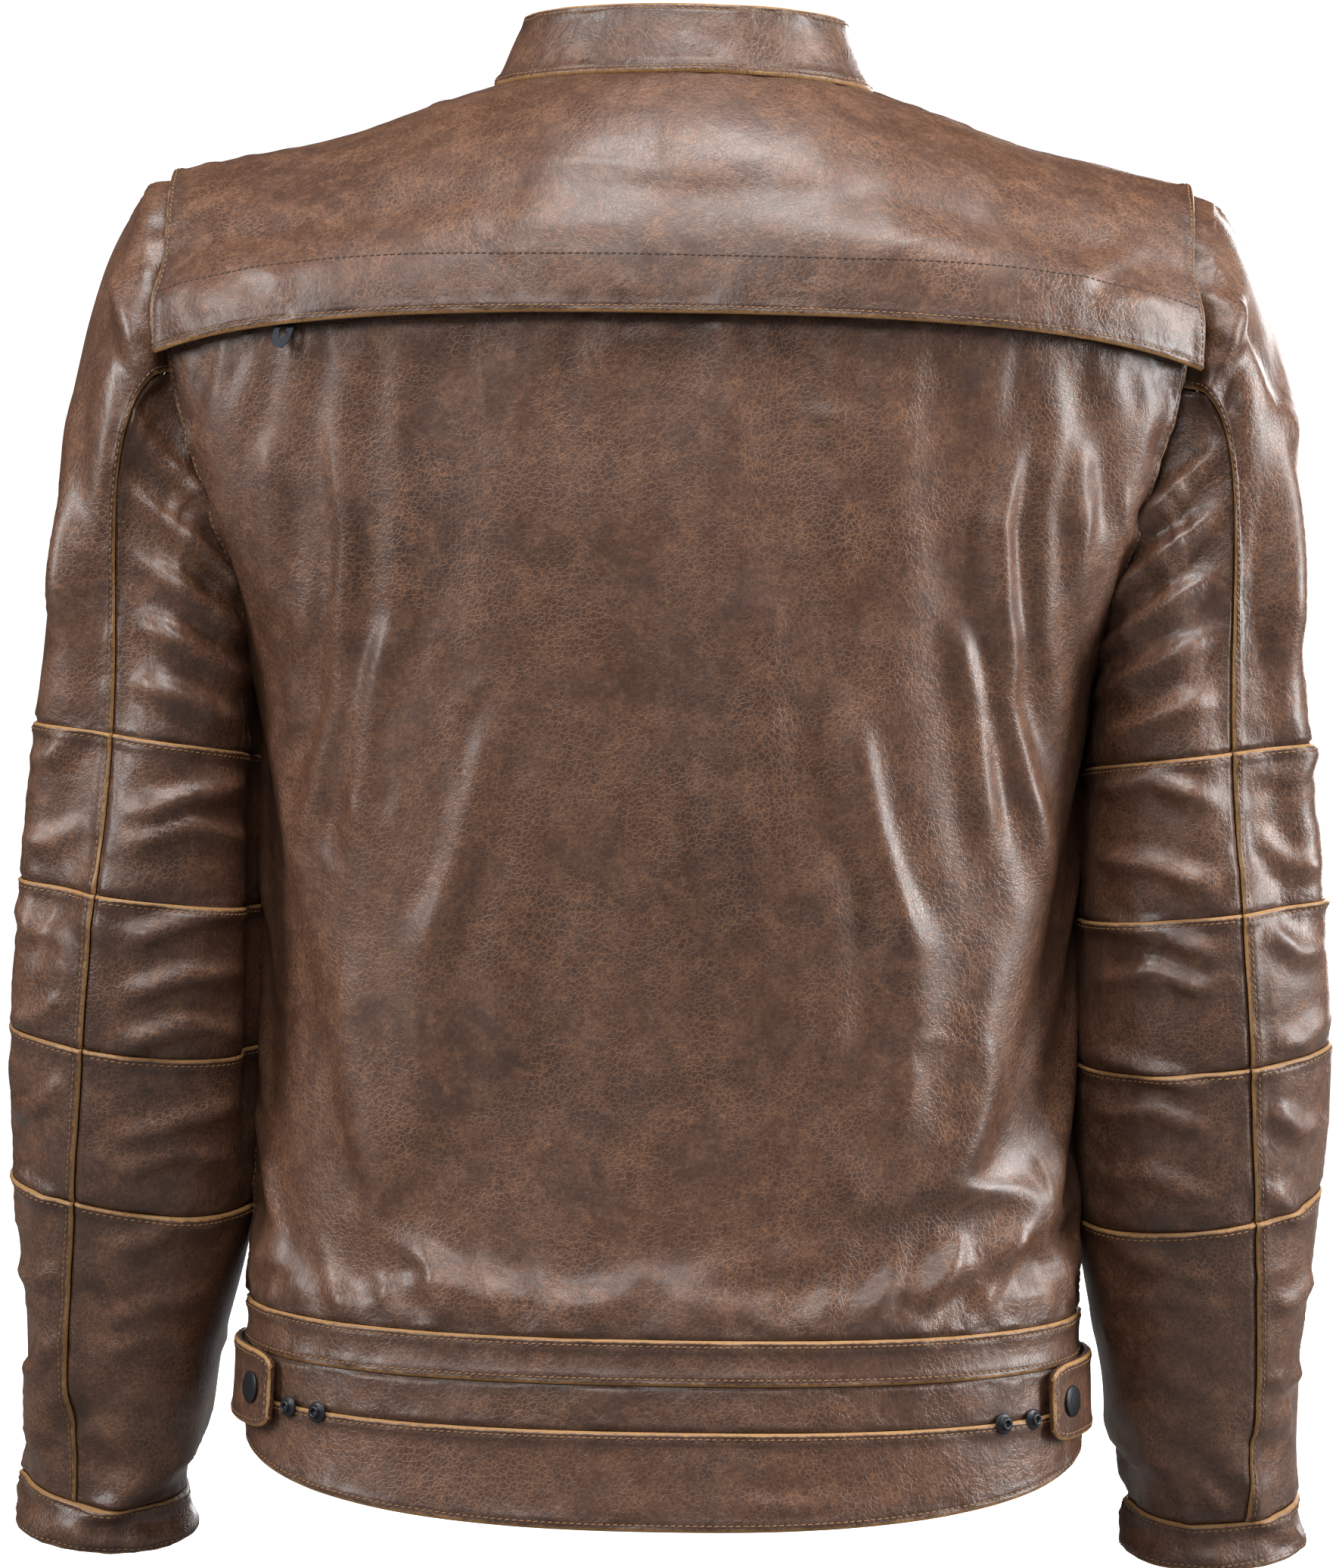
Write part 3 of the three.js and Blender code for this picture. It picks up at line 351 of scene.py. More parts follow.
def stitch_template():
    rings = np.array([(-0.5, 0.25), (-0.36, 0.85), (0, 1.0), (0.36, 0.85), (0.5, 0.25)])
    turn = np.arange(6) * math.tau / 6
    points = [(x, r * math.cos(a), r * math.sin(a)) for x, r in rings for a in turn]
    faces = grid_faces(len(rings), 6, wrap=True)
    ends = [[0, 1, 2, 3], [3, 4, 5, 0], [24, 27, 26, 25], [24, 29, 28, 27]]
    return np.array(points), np.concatenate([faces, ends])[:, ::-1]


STITCH = stitch_template()


def scattered(template, centres, x_axes, y_axes, z_axes, size):
    """Copies of a small body, one at each centre, along three axes and scaled to a size."""
    points, faces = template
    body = points * np.array(size)
    placed = centres[:, None] + (
        body[None, :, :1] * x_axes[:, None] + body[None, :, 1:2] * y_axes[:, None]
        + body[None, :, 2:] * z_axes[:, None])
    shifted = faces[None] + (np.arange(len(centres)) * len(points))[:, None, None]
    return placed.reshape(-1, 3), shifted.reshape(-1, 4)


def along(line, normals, pitch, start=0.5):
    """Evenly spaced places on a line: centre, tangent, side and normal of each."""
    steps = run_length(line, 0)
    count = max(2, int(steps[-1] / pitch))
    places = (np.arange(count) + start) * steps[-1] / count

    def pick(values, where):
        return np.stack([np.interp(where, steps, values[:, k]) for k in range(3)], -1)

    normal = unit(pick(normals, places))
    tangent = unit(pick(line, places + 1.2) - pick(line, places - 1.2))
    return pick(line, places), tangent, unit(np.cross(normal, tangent)), normal


def stitches(line, normals, size=(2.3, 0.42, 0.34), lift=0.12, slant=0.1):
    """Short thread bodies along a line of points, half sunk into the leather."""
    centre, tangent, side, normal = along(line, normals, STITCH_PITCH)
    return scattered(STITCH, centre + lift * normal, unit(tangent + slant * side), side, normal, size)


def shell_faces(rows, columns, wrap=False, kept=None):
    """Faces of a closed sheet: its outer grid, its inner grid, and a rim wherever a cell has no neighbour."""
    across = columns if wrap else columns - 1
    kept = np.ones((rows - 1, across), bool) if kept is None else kept
    j, i = np.nonzero(kept)
    count = rows * columns
    k = (i + 1) % columns
    a, b, c, d = j * columns + i, (j + 1) * columns + i, (j + 1) * columns + k, j * columns + k
    outer = np.stack([a, b, c, d], -1)
    padded = np.zeros((rows + 1, across + 2), bool)
    padded[1:-1, 1:-1] = kept
    if wrap:
        padded[:, 0], padded[:, -1] = padded[:, -2], padded[:, 1]
    rims = []
    for dj, di, first, last in ((-1, 0, a, d), (1, 0, c, b), (0, -1, b, a), (0, 1, d, c)):
        open_side = ~padded[j + 1 + dj, i + 1 + di]
        rims.append(np.stack([first, last, last + count, first + count], -1)[open_side])
    return outer, outer[:, ::-1] + count, np.concatenate(rims)


def shell(name, outer, inner, materials, flip=False, wrap=False, kept=None, threads=(), attributes=None):
    """A closed sheet between two grids of points, with its threads, as one object."""
    rows, columns = outer.shape[:2]
    front, back, rims = shell_faces(rows, columns, wrap, kept)
    faces = np.concatenate([front, back, rims])
    slots = np.concatenate([np.zeros(len(front)), np.ones(len(back)), np.zeros(len(rims))])
    if flip:
        faces = faces[:, ::-1]
    used = np.unique(faces)
    renumber = np.zeros(2 * rows * columns, int)
    renumber[used] = np.arange(len(used))
    faces = renumber[faces]
    points = np.concatenate([outer.reshape(-1, 3), inner.reshape(-1, 3)])[used]
    layers = {}
    for key, values in (attributes or {}).items():
        layers[key] = np.concatenate([values.ravel(), np.full(rows * columns, FAR)])[used]
    for line, normals, slot in threads:
        thread_points, thread_faces = stitches(line, normals)
        faces = np.concatenate([faces, thread_faces + len(points)])
        slots = np.concatenate([slots, np.full(len(thread_faces), slot)])
        points = np.concatenate([points, thread_points])
        layers = {key: np.concatenate([old, np.full(len(thread_points), FAR)]) for key, old in layers.items()}
    return make_object(name, points, faces, slots, materials, layers)


# ---------------------------------------------------------------- leather panels
FAR = 60.0  # mm: a distance attribute that means no edge is near


def edge_distances(points, wrap):
    down = run_length(points, 0)
    distances = {"top": down, "bottom": down[-1:] - down}
    if not wrap:
        along = run_length(points, 1)
        distances.update(start=along, end=along[:, -1:] - along)
    return distances


def line_inside(edge, inset, distances, *layers):
    """The points of each layer at a distance in from one edge, in order along that edge."""
    across_rows = edge in ("top", "bottom")
    reach = distances[edge] if across_rows else distances[edge].T
    backwards = edge in ("bottom", "end")
    lines = []
    for layer in layers:
        grid = layer if across_rows else layer.swapaxes(0, 1)
        order = slice(None, None, -1) if backwards else slice(None)
        line = [
            [np.interp(inset, reach[order, i], grid[order, i, k]) for k in range(3)]
            for i in range(grid.shape[1])
        ]
        lines.append(np.array(line))
    return lines


def trimmed(line, normals, inset):
    """A line without its first and last stretch."""
    steps = run_length(line, 0)
    keep = (steps > inset) & (steps < steps[-1] - inset)
    return line[keep], normals[keep]


def panel(name, surface, edges, flip=False, side=1, step=3.0, relief=None, lift=None, offset=0.0, wrap=False,
          thickness=LEATHER, materials=None, rows=(), puckers=True, opening=None, slot="leather"):
    """One panel: a surface with finished edges, folds and thread, as one closed body."""
    coarse = surface(*np.meshgrid(np.linspace(0, 1, 25), np.linspace(0, 1, 25)))
    width = run_length(coarse, 1)[:, -1].max()
    height = run_length(coarse, 0)[-1].max()
    u, v = np.meshgrid(ticks(width, step, wrap), ticks(height, step))
    base = surface(u, v) * np.array([side, 1, 1])
    normals = grid_normals(base, wrap) * (-1 if flip else 1)
    distances = edge_distances(base, wrap)
    raised = np.full(base.shape[:2], offset)
    if relief is not None:
        raised = raised + relief(base, normals)
    if lift is not None:
        raised = raised + lift(u, v)
    shaped = raised.copy()
    worn = np.full(base.shape[:2], FAR)
    # seam: distance to the nearest edge; the leather material uses it to paint shade and dirt near the seams.
    seam = np.full(base.shape[:2], FAR)
    for edge, kind in edges.items():
        shaped += EDGES[kind](distances[edge])
        seam = np.minimum(seam, distances[edge])
        if kind != "under":
            worn = np.minimum(worn, distances[edge])
    if puckers:
        uneven = noise(base, 9, 3) * 0.9 + noise(base, 19, 4) * 0.8
        shaped += uneven * np.exp(-np.maximum(seam - 3, 0) / 9) * smooth(seam / 3)
    outer = base + normals * shaped[..., None]
    inner = base + normals * (raised - thickness)[..., None]
    threads = []
    sewn = [(edge, STITCH_IN, 2) for edge, kind in edges.items() if kind in ("over", "free")]
    for edge, inset, slot_index in sewn + list(rows):
        line, line_normals = line_inside(edge, inset, distances, outer, normals)
        if not wrap:
            line, line_normals = trimmed(line, line_normals, 3.6)
        threads.append((line, line_normals, slot_index))
    kept = None
    if opening is not None:
        middle = (base[:-1, :-1] + base[1:, 1:]) / 2
        kept = ~opening(middle)
    piece = shell(name, outer, inner, materials or LEATHER_SET, flip, wrap, kept, threads,
                  {"worn": worn, "seam": seam})
    return piece


# ---------------------------------------------------------------- materials
class Nodes:
    """A small helper that adds and links shader nodes."""

    def __init__(self, name):
        self.material = bpy.data.materials.new(name)
        self.material.use_nodes = True
        self.tree = self.material.node_tree
        self.shader = self.tree.nodes["Principled BSDF"]

    def add(self, kind, inputs=None, **settings):
        node = self.tree.nodes.new(kind)
        for key, value in settings.items():
            setattr(node, key, value)
        for key, value in (inputs or {}).items():
            self.put(node.inputs[key], value)
        return node

    def put(self, socket, value):
        if isinstance(value, bpy.types.NodeSocket):
            self.tree.links.new(value, socket)
        else:
            socket.default_value = value

    def set(self, **inputs):
        for key, value in inputs.items():
            self.put(self.shader.inputs[key.replace("_", " ")], value)

    def rest(self):
        return self.add("ShaderNodeAttribute", attribute_name="rest").outputs["Vector"]

    def value(self, name):
        return self.add("ShaderNodeAttribute", attribute_name=name).outputs["Fac"]

    def noise(self, vector, scale, detail=3.0, rough=0.55, distortion=0.0):
        inputs = {"Vector": vector, "Scale": scale, "Detail": detail,
                  "Roughness": rough, "Distortion": distortion}
        return self.add("ShaderNodeTexNoise", inputs).outputs["Fac"]

    def cells(self, vector, scale, feature="DISTANCE_TO_EDGE", randomness=1.0):
        inputs = {"Vector": vector, "Scale": scale, "Randomness": randomness}
        return self.add("ShaderNodeTexVoronoi", inputs, feature=feature).outputs["Distance"]

    def stretch(self, vector, scale):
        return self.add("ShaderNodeMapping", {"Vector": vector, "Scale": scale}).outputs["Vector"]

    def warp(self, vector, scale, amount):
        wobble = self.add("ShaderNodeTexNoise", {"Vector": vector, "Scale": scale, "Detail": 2.0})
        shift = wobble.outputs["Color"]
        centred = self.add("ShaderNodeVectorMath", {0: shift, 1: (0.5, 0.5, 0.5)}, operation="SUBTRACT")
        moved = self.add("ShaderNodeVectorMath", {0: centred.outputs[0], "Scale": amount}, operation="SCALE")
        return self.add("ShaderNodeVectorMath", {0: vector, 1: moved.outputs[0]}, operation="ADD").outputs[0]

    def ramp(self, value, low, high, to_low=0.0, to_high=1.0):
        inputs = {"Value": value, "From Min": low, "From Max": high, "To Min": to_low, "To Max": to_high}
        return self.add("ShaderNodeMapRange", inputs, interpolation_type="SMOOTHSTEP").outputs["Result"]

    def math(self, operation, a, b=0.0):
        return self.add("ShaderNodeMath", {0: a, 1: b}, operation=operation).outputs[0]

    def mix(self, share, a, b, blend="MIX"):
        node = self.add("ShaderNodeMix", data_type="RGBA", blend_type=blend)
        self.put(node.inputs[0], share)
        self.put(node.inputs[6], a)
        self.put(node.inputs[7], b)
        return node.outputs[2]

    def bump(self, height, distance, strength=1.0, normal=None):
        inputs = {"Height": height, "Distance": distance, "Strength": strength}
        if normal is not None:
            inputs["Normal"] = normal
        return self.add("ShaderNodeBump", inputs).outputs["Normal"]


def srgb(red, green, blue):
    """A colour as 0-255 screen values, turned linear."""
    def linear(c):
        c = c / 255
        return c / 12.92 if c <= 0.04045 else ((c + 0.055) / 1.055) ** 2.4

    return (linear(red), linear(green), linear(blue), 1.0)


def leather_material(name="leather", seams=True):
    n = Nodes(name)
    rest = n.rest()
    clouds = n.noise(n.warp(rest, 12.0, 0.03), 10.0, 4.0, 0.6)
    mottle = n.noise(n.warp(rest, 60.0, 0.008), 75.0, 5.0, 0.7)
    fine = n.noise(rest, 420.0, 4.0, 0.7)
    dark, middle, light = srgb(62, 41, 31), srgb(83, 56, 42), srgb(107, 76, 59)
    colour = n.mix(n.ramp(clouds, 0.26, 0.62), dark, middle)
    colour = n.mix(n.ramp(mottle, 0.38, 0.70, 0.0, 0.7), colour, light)
    colour = n.mix(n.ramp(fine, 0.40, 0.64, 0.5, 0.0), colour, srgb(50, 33, 26))
    cells = n.cells(n.warp(rest, 240.0, 0.0032), 400.0)
    where = n.ramp(n.noise(n.warp(rest, 30.0, 0.02), 26.0, 5.0, 0.7), 0.30, 0.62)
    lines = n.math("MULTIPLY", n.ramp(cells, 0.0, 0.13, 1.0, 0.0), where)
    colour = n.mix(n.math("MULTIPLY", lines, 0.42), colour, srgb(138, 94, 64))
    hairs = n.noise(n.warp(n.stretch(rest, (1.0, 1.0, 0.6)), 120.0, 0.01), 260.0, 3.0, 0.75, 1.2)
    off_middle = n.math("ABSOLUTE", n.math("SUBTRACT", hairs, 0.5))
    hair_lines = n.math("MULTIPLY", n.ramp(off_middle, 0.0, 0.02, 1.0, 0.0),
                        n.ramp(mottle, 0.46, 0.62))
    colour = n.mix(n.math("MULTIPLY", hair_lines, 0.42), colour, srgb(150, 108, 74))
    rough = n.ramp(n.noise(rest, 18.0, 4.0, 0.65), 0.3, 0.7, 0.36, 0.52)
    if seams:
        # Darker brown towards every seam: painted shade in the seam creases, together with dirt there.
        seam_dirt_and_shade = n.ramp(n.value("seam"), 2.0, 13.0, 0.45, 0.0)
        colour = n.mix(seam_dirt_and_shade, colour, srgb(48, 31, 23))
        ragged = n.math("ADD", n.value("worn"), n.math("MULTIPLY", n.noise(rest, 300.0, 3.0, 0.6), 2.2))
        edge = n.ramp(ragged, 1.7, 3.0, 0.92, 0.0)
        colour = n.mix(edge, colour, srgb(152, 112, 66))
        rough = n.math("ADD", rough, n.math("MULTIPLY", edge, 0.25))
    pores = n.cells(n.warp(rest, 300.0, 0.0012), 760.0, "F1")
    coarse = n.math("MULTIPLY", pores, 0.5)
    height = n.math("ADD", coarse, n.math("MULTIPLY", n.noise(rest, 1500.0, 3.0, 0.7), 0.3))
    small = n.bump(height, 0.00014, 0.5)
    grooves = n.math("SUBTRACT", 1.0, n.math("MULTIPLY", lines, 0.8))
    medium = n.bump(grooves, 0.00022, 0.55, small)
    wrinkles = n.noise(n.warp(n.stretch(rest, (1.0, 1.0, 0.7)), 60.0, 0.01), 150.0, 4.0, 0.62, 0.6)
    near = n.ramp(n.value("seam"), 3.0, 26.0, 1.0, 0.4) if seams else 0.5
    wrinkled = n.bump(n.math("MULTIPLY", wrinkles, near), 0.0022, 0.45, medium)
    n.set(Base_Color=colour, Roughness=rough, Normal=wrinkled, Specular_IOR_Level=0.45,
          Coat_Weight=0.14, Coat_Roughness=0.26)
    return n.material


def plain_material(name, colour, roughness, metallic=0.0, grain=0.0, grain_scale=800.0):
    n = Nodes(name)
    rest = n.add("ShaderNodeTexCoord").outputs["Object"]
    spots = n.noise(rest, grain_scale * 0.1, 3.0)
    lighter = tuple(min(1, c * 1.5 + 0.01) for c in colour[:3]) + (1,)
    n.set(Base_Color=n.mix(spots, colour, lighter),
          Roughness=n.ramp(spots, 0.3, 0.7, roughness, roughness + 0.12),
          Metallic=metallic)
    if grain:
        n.set(Normal=n.bump(n.noise(rest, grain_scale, 2.0), grain, 0.7))
    return n.material


def woven_material(name, dark, light, scale):
    n = Nodes(name)
    rest = n.rest()
    twill = n.add("ShaderNodeTexWave", {"Vector": rest, "Scale": scale, "Distortion": 0.6},
                  bands_direction="DIAGONAL")
    colour = n.mix(twill.outputs["Fac"], dark, light)
    n.set(Base_Color=colour, Roughness=0.62, Sheen_Weight=0.25,
          Normal=n.bump(twill.outputs["Fac"], 0.00012, 0.6))
    return n.material


LEATHER_MATERIAL = leather_material()
LEATHER_PLAIN = leather_material("leather_trim", seams=False)
FLESH = plain_material("leather_flesh_side", srgb(92, 70, 54), 0.85, grain=0.0003, grain_scale=900.0)
THREAD = plain_material("thread_tan", srgb(108, 76, 46), 0.6, grain=0.00005, grain_scale=3000.0)
THREAD_DARK = plain_material("thread_brown", srgb(58, 38, 26), 0.6, grain=0.00005, grain_scale=3000.0)
METAL = plain_material("dark_metal", srgb(38, 40, 46), 0.32, metallic=0.85, grain=0.00003, grain_scale=500.0)
SNAP = plain_material("blued_snap", srgb(20, 22, 28), 0.34, metallic=0.4, grain=0.00003, grain_scale=500.0)
LINING = woven_material("lining", srgb(34, 30, 29), srgb(52, 47, 45), 420.0)
TAPE = woven_material("zip_tape", srgb(26, 24, 25), srgb(44, 41, 42), 900.0)
PAD = plain_material("armour_foam", srgb(58, 62, 66), 0.8, grain=0.0004, grain_scale=600.0)
LEATHER_SET = (LEATHER_MATERIAL, FLESH, THREAD, THREAD_DARK)
LINING_SET = (LINING, LINING, THREAD)


# ---------------------------------------------------------------- folds
def stroke(x, z, knots, height, width, fade=0.25):
    """A fold along a line of (x, z) knots, highest in its middle and fading out at both ends."""
    knots = np.array(knots, float)
    lengths = np.linalg.norm(np.diff(knots, axis=0), axis=1)
    total, walked = lengths.sum(), 0.0
    best = np.full(x.shape, 1e9)
    place = np.zeros(x.shape)
    for (ax, az), (bx, bz), length in zip(knots[:-1], knots[1:], lengths):
        t = np.clip(((x - ax) * (bx - ax) + (z - az) * (bz - az)) / length ** 2, 0, 1)
        away = np.hypot(x - ax - t * (bx - ax), z - az - t * (bz - az))
        nearer = away < best
        best = np.where(nearer, away, best)
        place = np.where(nearer, (walked + t * length) / total, place)
        walked += length
    ends = smooth(place / fade) * smooth((1 - place) / fade)
    return height * ends * (np.exp(-((best / width) ** 2)) - 0.35 * np.exp(-((best / (2.2 * width)) ** 2)))


def lumps(points):
    """Uneven leather over the whole jacket, the same wherever two panels meet."""
    wide = noise(points * np.array([1, 1, 0.7]), 85, 1) * 1.5
    middle = noise(points * np.array([1, 1, 0.8]), 36, 2) * 0.8
    return wide + middle + noise(points, 15, 5) * 0.22


# Each fold is a line of (x, z) places, its height and its half width.
FRONT_FOLDS = [
    ([(205, -215), (170, -250), (120, -268), (70, -275)], 2.6, 9),
    ([(196, -262), (160, -300), (128, -345), (110, -390)], 3.0, 8),
    ([(150, -120), (140, -180), (150, -240)], 2.2, 12),
    ([(60, -150), (52, -240), (64, -330)], 1.6, 14),
    ([(186, -400), (160, -440), (150, -500)], 2.4, 8),
    ([(40, -360), (46, -450), (38, -560)], 2.0, 10),
    ([(90, -520), (84, -550), (90, -578)], 1.8, 6),
    ([(140, -530), (150, -555), (146, -578)], 1.8, 6),
    ([(178, -510), (170, -545), (176, -572)], 2.0, 6),
    ([(30, -110), (60, -130), (90, -128)], 1.6, 7),
]


def fan(first, last, heights, width):
    """Folds spread evenly from a first line to a last one, with one height for each."""
    places = np.linspace(0, 1, len(heights))
    return [(lerp(np.array(first), np.array(last), t), height, width) for t, height in zip(places, heights)]


def lone(places, height, width):
    return [(np.array(places), height, width)]


def both_sides(folds):
    """The same folds on both halves of the back, a little lower and flatter on the left."""
    lines = []
    for side, drop, share in ((-1, -7, 0.8), (1, 0, 1.0)):
        for knots, height, width in folds:
            lines.append((knots * np.array([side, 1]) + np.array([0, drop]), height * share, width))
    return lines


def back_lines():
    """Long folds hang from the armhole, soft ones fill the middle, and short ones end at the waist seam."""
    yoke, waist = yoke_edge(1.0), waist_seam(0.0, 0)
    pit = ARMHOLE_BOTTOM
    edge = float(half_width(pit))
    beside_armhole = fan(
        [(edge - 34, yoke - 10), (edge - 48, pit + 70), (edge - 46, pit - 10), (edge - 18, pit - 110)],
        [(edge - 8, yoke - 25), (edge - 12, yoke - 60), (edge - 14, pit + 55), (edge - 18, pit + 25)],
        (5.2, 3.0, 2.6), 7.5)
    below_armhole = fan([(edge - 70, pit + 40), (edge - 58, pit - 25), (edge - 52, pit - 90)],
                        [(edge - 120, pit), (edge - 105, pit - 70), (edge - 84, pit - 135)], (3.6, 3.8), 8)
    lower_back = fan(
        [(70, pit - 70), (76, pit - 135), (72, pit - 200)],
        [(edge - 48, pit - 115), (edge - 54, pit - 180), (edge - 62, pit - 245)], (2.8, 2.6, 2.4), 12)
    middle = fan(
        [(42, pit + 50), (46, pit), (40, pit - 45)],
        [(36, pit - 95), (40, pit - 145), (36, pit - 195)], (1.6, 1.8), 15)
    above_waist = fan([(60, waist + 40), (55, waist + 20), (50, waist)],
                      [(edge - 30, waist + 45), (edge - 42, waist + 20), (edge - 56, waist)],
                      (1.8, 2.0, 1.8, 2.6, 3.0), 5.5)
    below_waist = lone([(30, waist - 82), (60, waist - 85), (90, waist - 80)], 1.8, 4)
    centre = lone([(0, yoke), (0, waist + 25)], 1.0, 4)
    upper = beside_armhole + below_armhole
    return centre + both_sides(upper + lower_back + middle + above_waist + below_waist)


def yoke_lines():
    """Creases run in from the sleeve seam, and soft folds hang from the shoulder."""
    edge = float(armhole_x(ARMHOLE_TOP))
    from_sleeve = fan([(edge - 20, -68), (edge - 46, -82), (edge - 70, -98)],
                      [(edge - 17, -98), (edge - 36, -102), (edge - 58, -106)], (2.4, 1.8), 6.5)
    from_shoulder = fan(
        [(edge - 36, -28), (edge - 46, -52), (edge - 52, -76)],
        [(84, -10), (92, -40), (90, -72)], (2.4, 1.6, 1.4), 11)
    centre = lone([(0, -12), (0, -100)], 1.6, 4)
    return centre + both_sides(from_sleeve + from_shoulder)


def on_sleeve(places):
    """(x, z) on the back of the right sleeve, from 0 at its inner edge to 1 at its outer edge."""
    return [(float(sleeve_x(z) + sleeve_half_x(z) * across(u)), z) for u, z in places]


def sleeve_lines(side):
    """Pleats under the shoulder, a fan out of the armpit, and short folds down to the cuff."""
    pit, lowest = ARMHOLE_BOTTOM, CUFF_TOP + 70
    lines = fan(on_sleeve([(0.68, -80), (0.55, -115), (0.42, -152)]),
                on_sleeve([(0.48, -80), (0.44, -108), (0.38, -136)]), (4.6, 3.4, 2.4), 6)
    lines += fan(on_sleeve([(-0.08, pit + 50), (0.26, pit + 84), (0.56, pit + 118)]),
                 on_sleeve([(0.06, pit - 28), (0.30, pit - 14), (0.54, pit - 4)]),
                 (6.0, 6.4, 4.4, 3.6, 3.2), 6.5)
    lines += fan(on_sleeve([(0.84, -125), (0.80, -190), (0.74, pit + 12)]),
                 on_sleeve([(0.96, -150), (0.88, -212), (0.80, pit)]), (4.2, 3.4, 2.6), 6.5)
    for k, z in enumerate(np.linspace(BANDS[0] - 20, lowest, 10)):
        height, sway = lerp(4.2, 1.6, k / 9), 9 * math.sin(2.4 * k + side)
        lines += lone(on_sleeve([(0.04, z), (0.26, z + sway), (0.52, z - 12 + sway)]), height, 5.5)
    for k, z in enumerate(np.linspace(BANDS[0], lowest, 8)):
        sway = 10 * math.sin(1.9 * k - side)
        lines += lone(on_sleeve([(0.68, z + sway), (0.82, z - 10), (0.95, z - 4 - sway)]), 2.4, 5.5)
    return [(knots * np.array([side, 1]), height, width) for knots, height, width in lines]


BACK_FOLDS = back_lines()
YOKE_FOLDS = yoke_lines()
SLEEVE_FOLDS = {side: sleeve_lines(side) for name, side in SIDES}


def folded(points, folds, tall=1.0):
    x, z = points[..., 0], points[..., 2]
    raised = np.zeros(x.shape)
    for knots, height, width in folds:
        raised = raised + tall * stroke(x, z, knots, height, width)
    return raised


def creases(points, stretch, size, seed):
    """Long narrow wrinkles: ridges where a stretched noise crosses its middle value."""
    field = noise(points * np.array(stretch) + 9 * noise(points, 40, seed + 1)[..., None], size, seed)
    return np.exp(-((field / 0.2) ** 2)) * smooth(noise(points, 34, seed + 2) * 1.8 + 0.1)


def yoke_relief(points, normals):
    inside = smooth((-points[..., 2] - 6) / 30)
    return inside * (lumps(points) + 0.5 * creases(points, (1, 1, 0.6), 24, 25)) + folded(points, YOKE_FOLDS)


def sleeve_folds(points, normals):
    """The folds seen from behind, and wrinkles all the way round."""
    z = points[..., 2]
    behind = smooth(0.5 - normals[..., 1] / 0.5)
    folds = SLEEVE_FOLDS[int(np.sign(points[..., 0].mean()))]
    elbow = np.exp(-(((z + 440) / 120) ** 2))
    around = creases(points, (0.5, 0.5, 1), 24, 41) * (0.8 + 2.4 * elbow)
    front = 2.4 * creases(points, (0.7, 0.7, 1), 42, 45)
    below_head = smooth((-70 - z) / 90)
    loose = (1 - behind) * front + around * (1 - 0.3 * behind)
    return behind * folded(points, folds, 1.9) + below_head * loose


def back_folds(points, normals):
    return folded(points, BACK_FOLDS, 1.9) + 1.0 * creases(points, (1, 1, 0.35), 26, 21)


def front_folds(points, normals):
    folds = folded(points * np.array([np.sign(points[..., 0].mean()), 1, 1]), FRONT_FOLDS, 1.5)
    return folds + 0.9 * creases(points, (1, 1, 0.3), 34, 31)


def start_lumps(points, normals):
    return 1.3 * lumps(points)


def strip_relief(points, normals):
    return lumps(points) + folded(points, BACK_FOLDS, 0.8)


# ---------------------------------------------------------------- cloth simulation of the folds
CLOTH_FRAMES, CLOTH_CAP = 22, 8.0
DEEPEST = 6.5  # mm: no fold sinks further, so that none reaches the lining


def relaxed(base, start, hold, wrap, flip, grow):
    """Lets a slightly oversized sheet buckle as cloth, and returns how far it stands out, in mm."""
    normals = grid_normals(base, wrap) * (-1 if flip else 1)
    height = start(base, normals)
    rows, columns = base.shape[:2]
    points = (base + normals * height[..., None]).reshape(-1, 3)
    faces = grid_faces(rows, columns, wrap)
    piece = make_object("cloth_master", points, faces, np.zeros(len(faces)), ())
    group = piece.vertex_groups.new(name="held")
    for index, weight in enumerate(hold.ravel()):
        group.add([index], float(weight), "REPLACE")
    modifier = piece.modifiers.new("cloth", "CLOTH")
    cloth = modifier.settings
    cloth.quality = 6
    cloth.mass = 0.4
    cloth.tension_stiffness = cloth.compression_stiffness = 25
    cloth.shear_stiffness = 12
    cloth.bending_stiffness = 6
    cloth.air_damping = 2
    cloth.vertex_group_mass = "held"
    cloth.pin_stiffness = 0.6
    cloth.shrink_min = -grow
    cloth.effector_weights.gravity = 0.25
    modifier.collision_settings.use_collision = False
    modifier.point_cache.frame_end = CLOTH_FRAMES
    scene = bpy.context.scene
    for step in range(1, CLOTH_FRAMES + 1):
        scene.frame_set(step)
    shaped = piece.evaluated_get(bpy.context.evaluated_depsgraph_get()).to_mesh()
    moved = np.empty(rows * columns * 3, np.float32)
    shaped.vertices.foreach_get("co", moved)
    bpy.data.objects.remove(piece)
    scene.frame_set(1)
    out = ((moved.reshape(base.shape) / MM - base) * normals).sum(-1)
    return height + CLOTH_CAP * np.tanh((out - height) / CLOTH_CAP)


def sampler(base, values, folds):
    """A relief that looks up values known at the base points, and adds the folds to them."""
    tree = kdtree.KDTree(values.size)
    for index, point in enumerate(base.reshape(-1, 3)):
        tree.insert(point, index)
    tree.balance()
    flat = values.ravel()

    def relief(points, normals):
        found = [tree.find_n(point, 5) for point in points.reshape(-1, 3)]
        index = np.array([[hit[1] for hit in hits] for hits in found])
        weight = 1 / (np.array([[hit[2] for hit in hits] for hits in found]) ** 2 + 6.0)
        drape = ((flat[index] * weight).sum(1) / weight.sum(1)).reshape(points.shape[:-1])
        total = drape + folds(points, normals)
        return np.where(total < 0, DEEPEST * np.tanh(total / DEEPEST), total)

    return relief


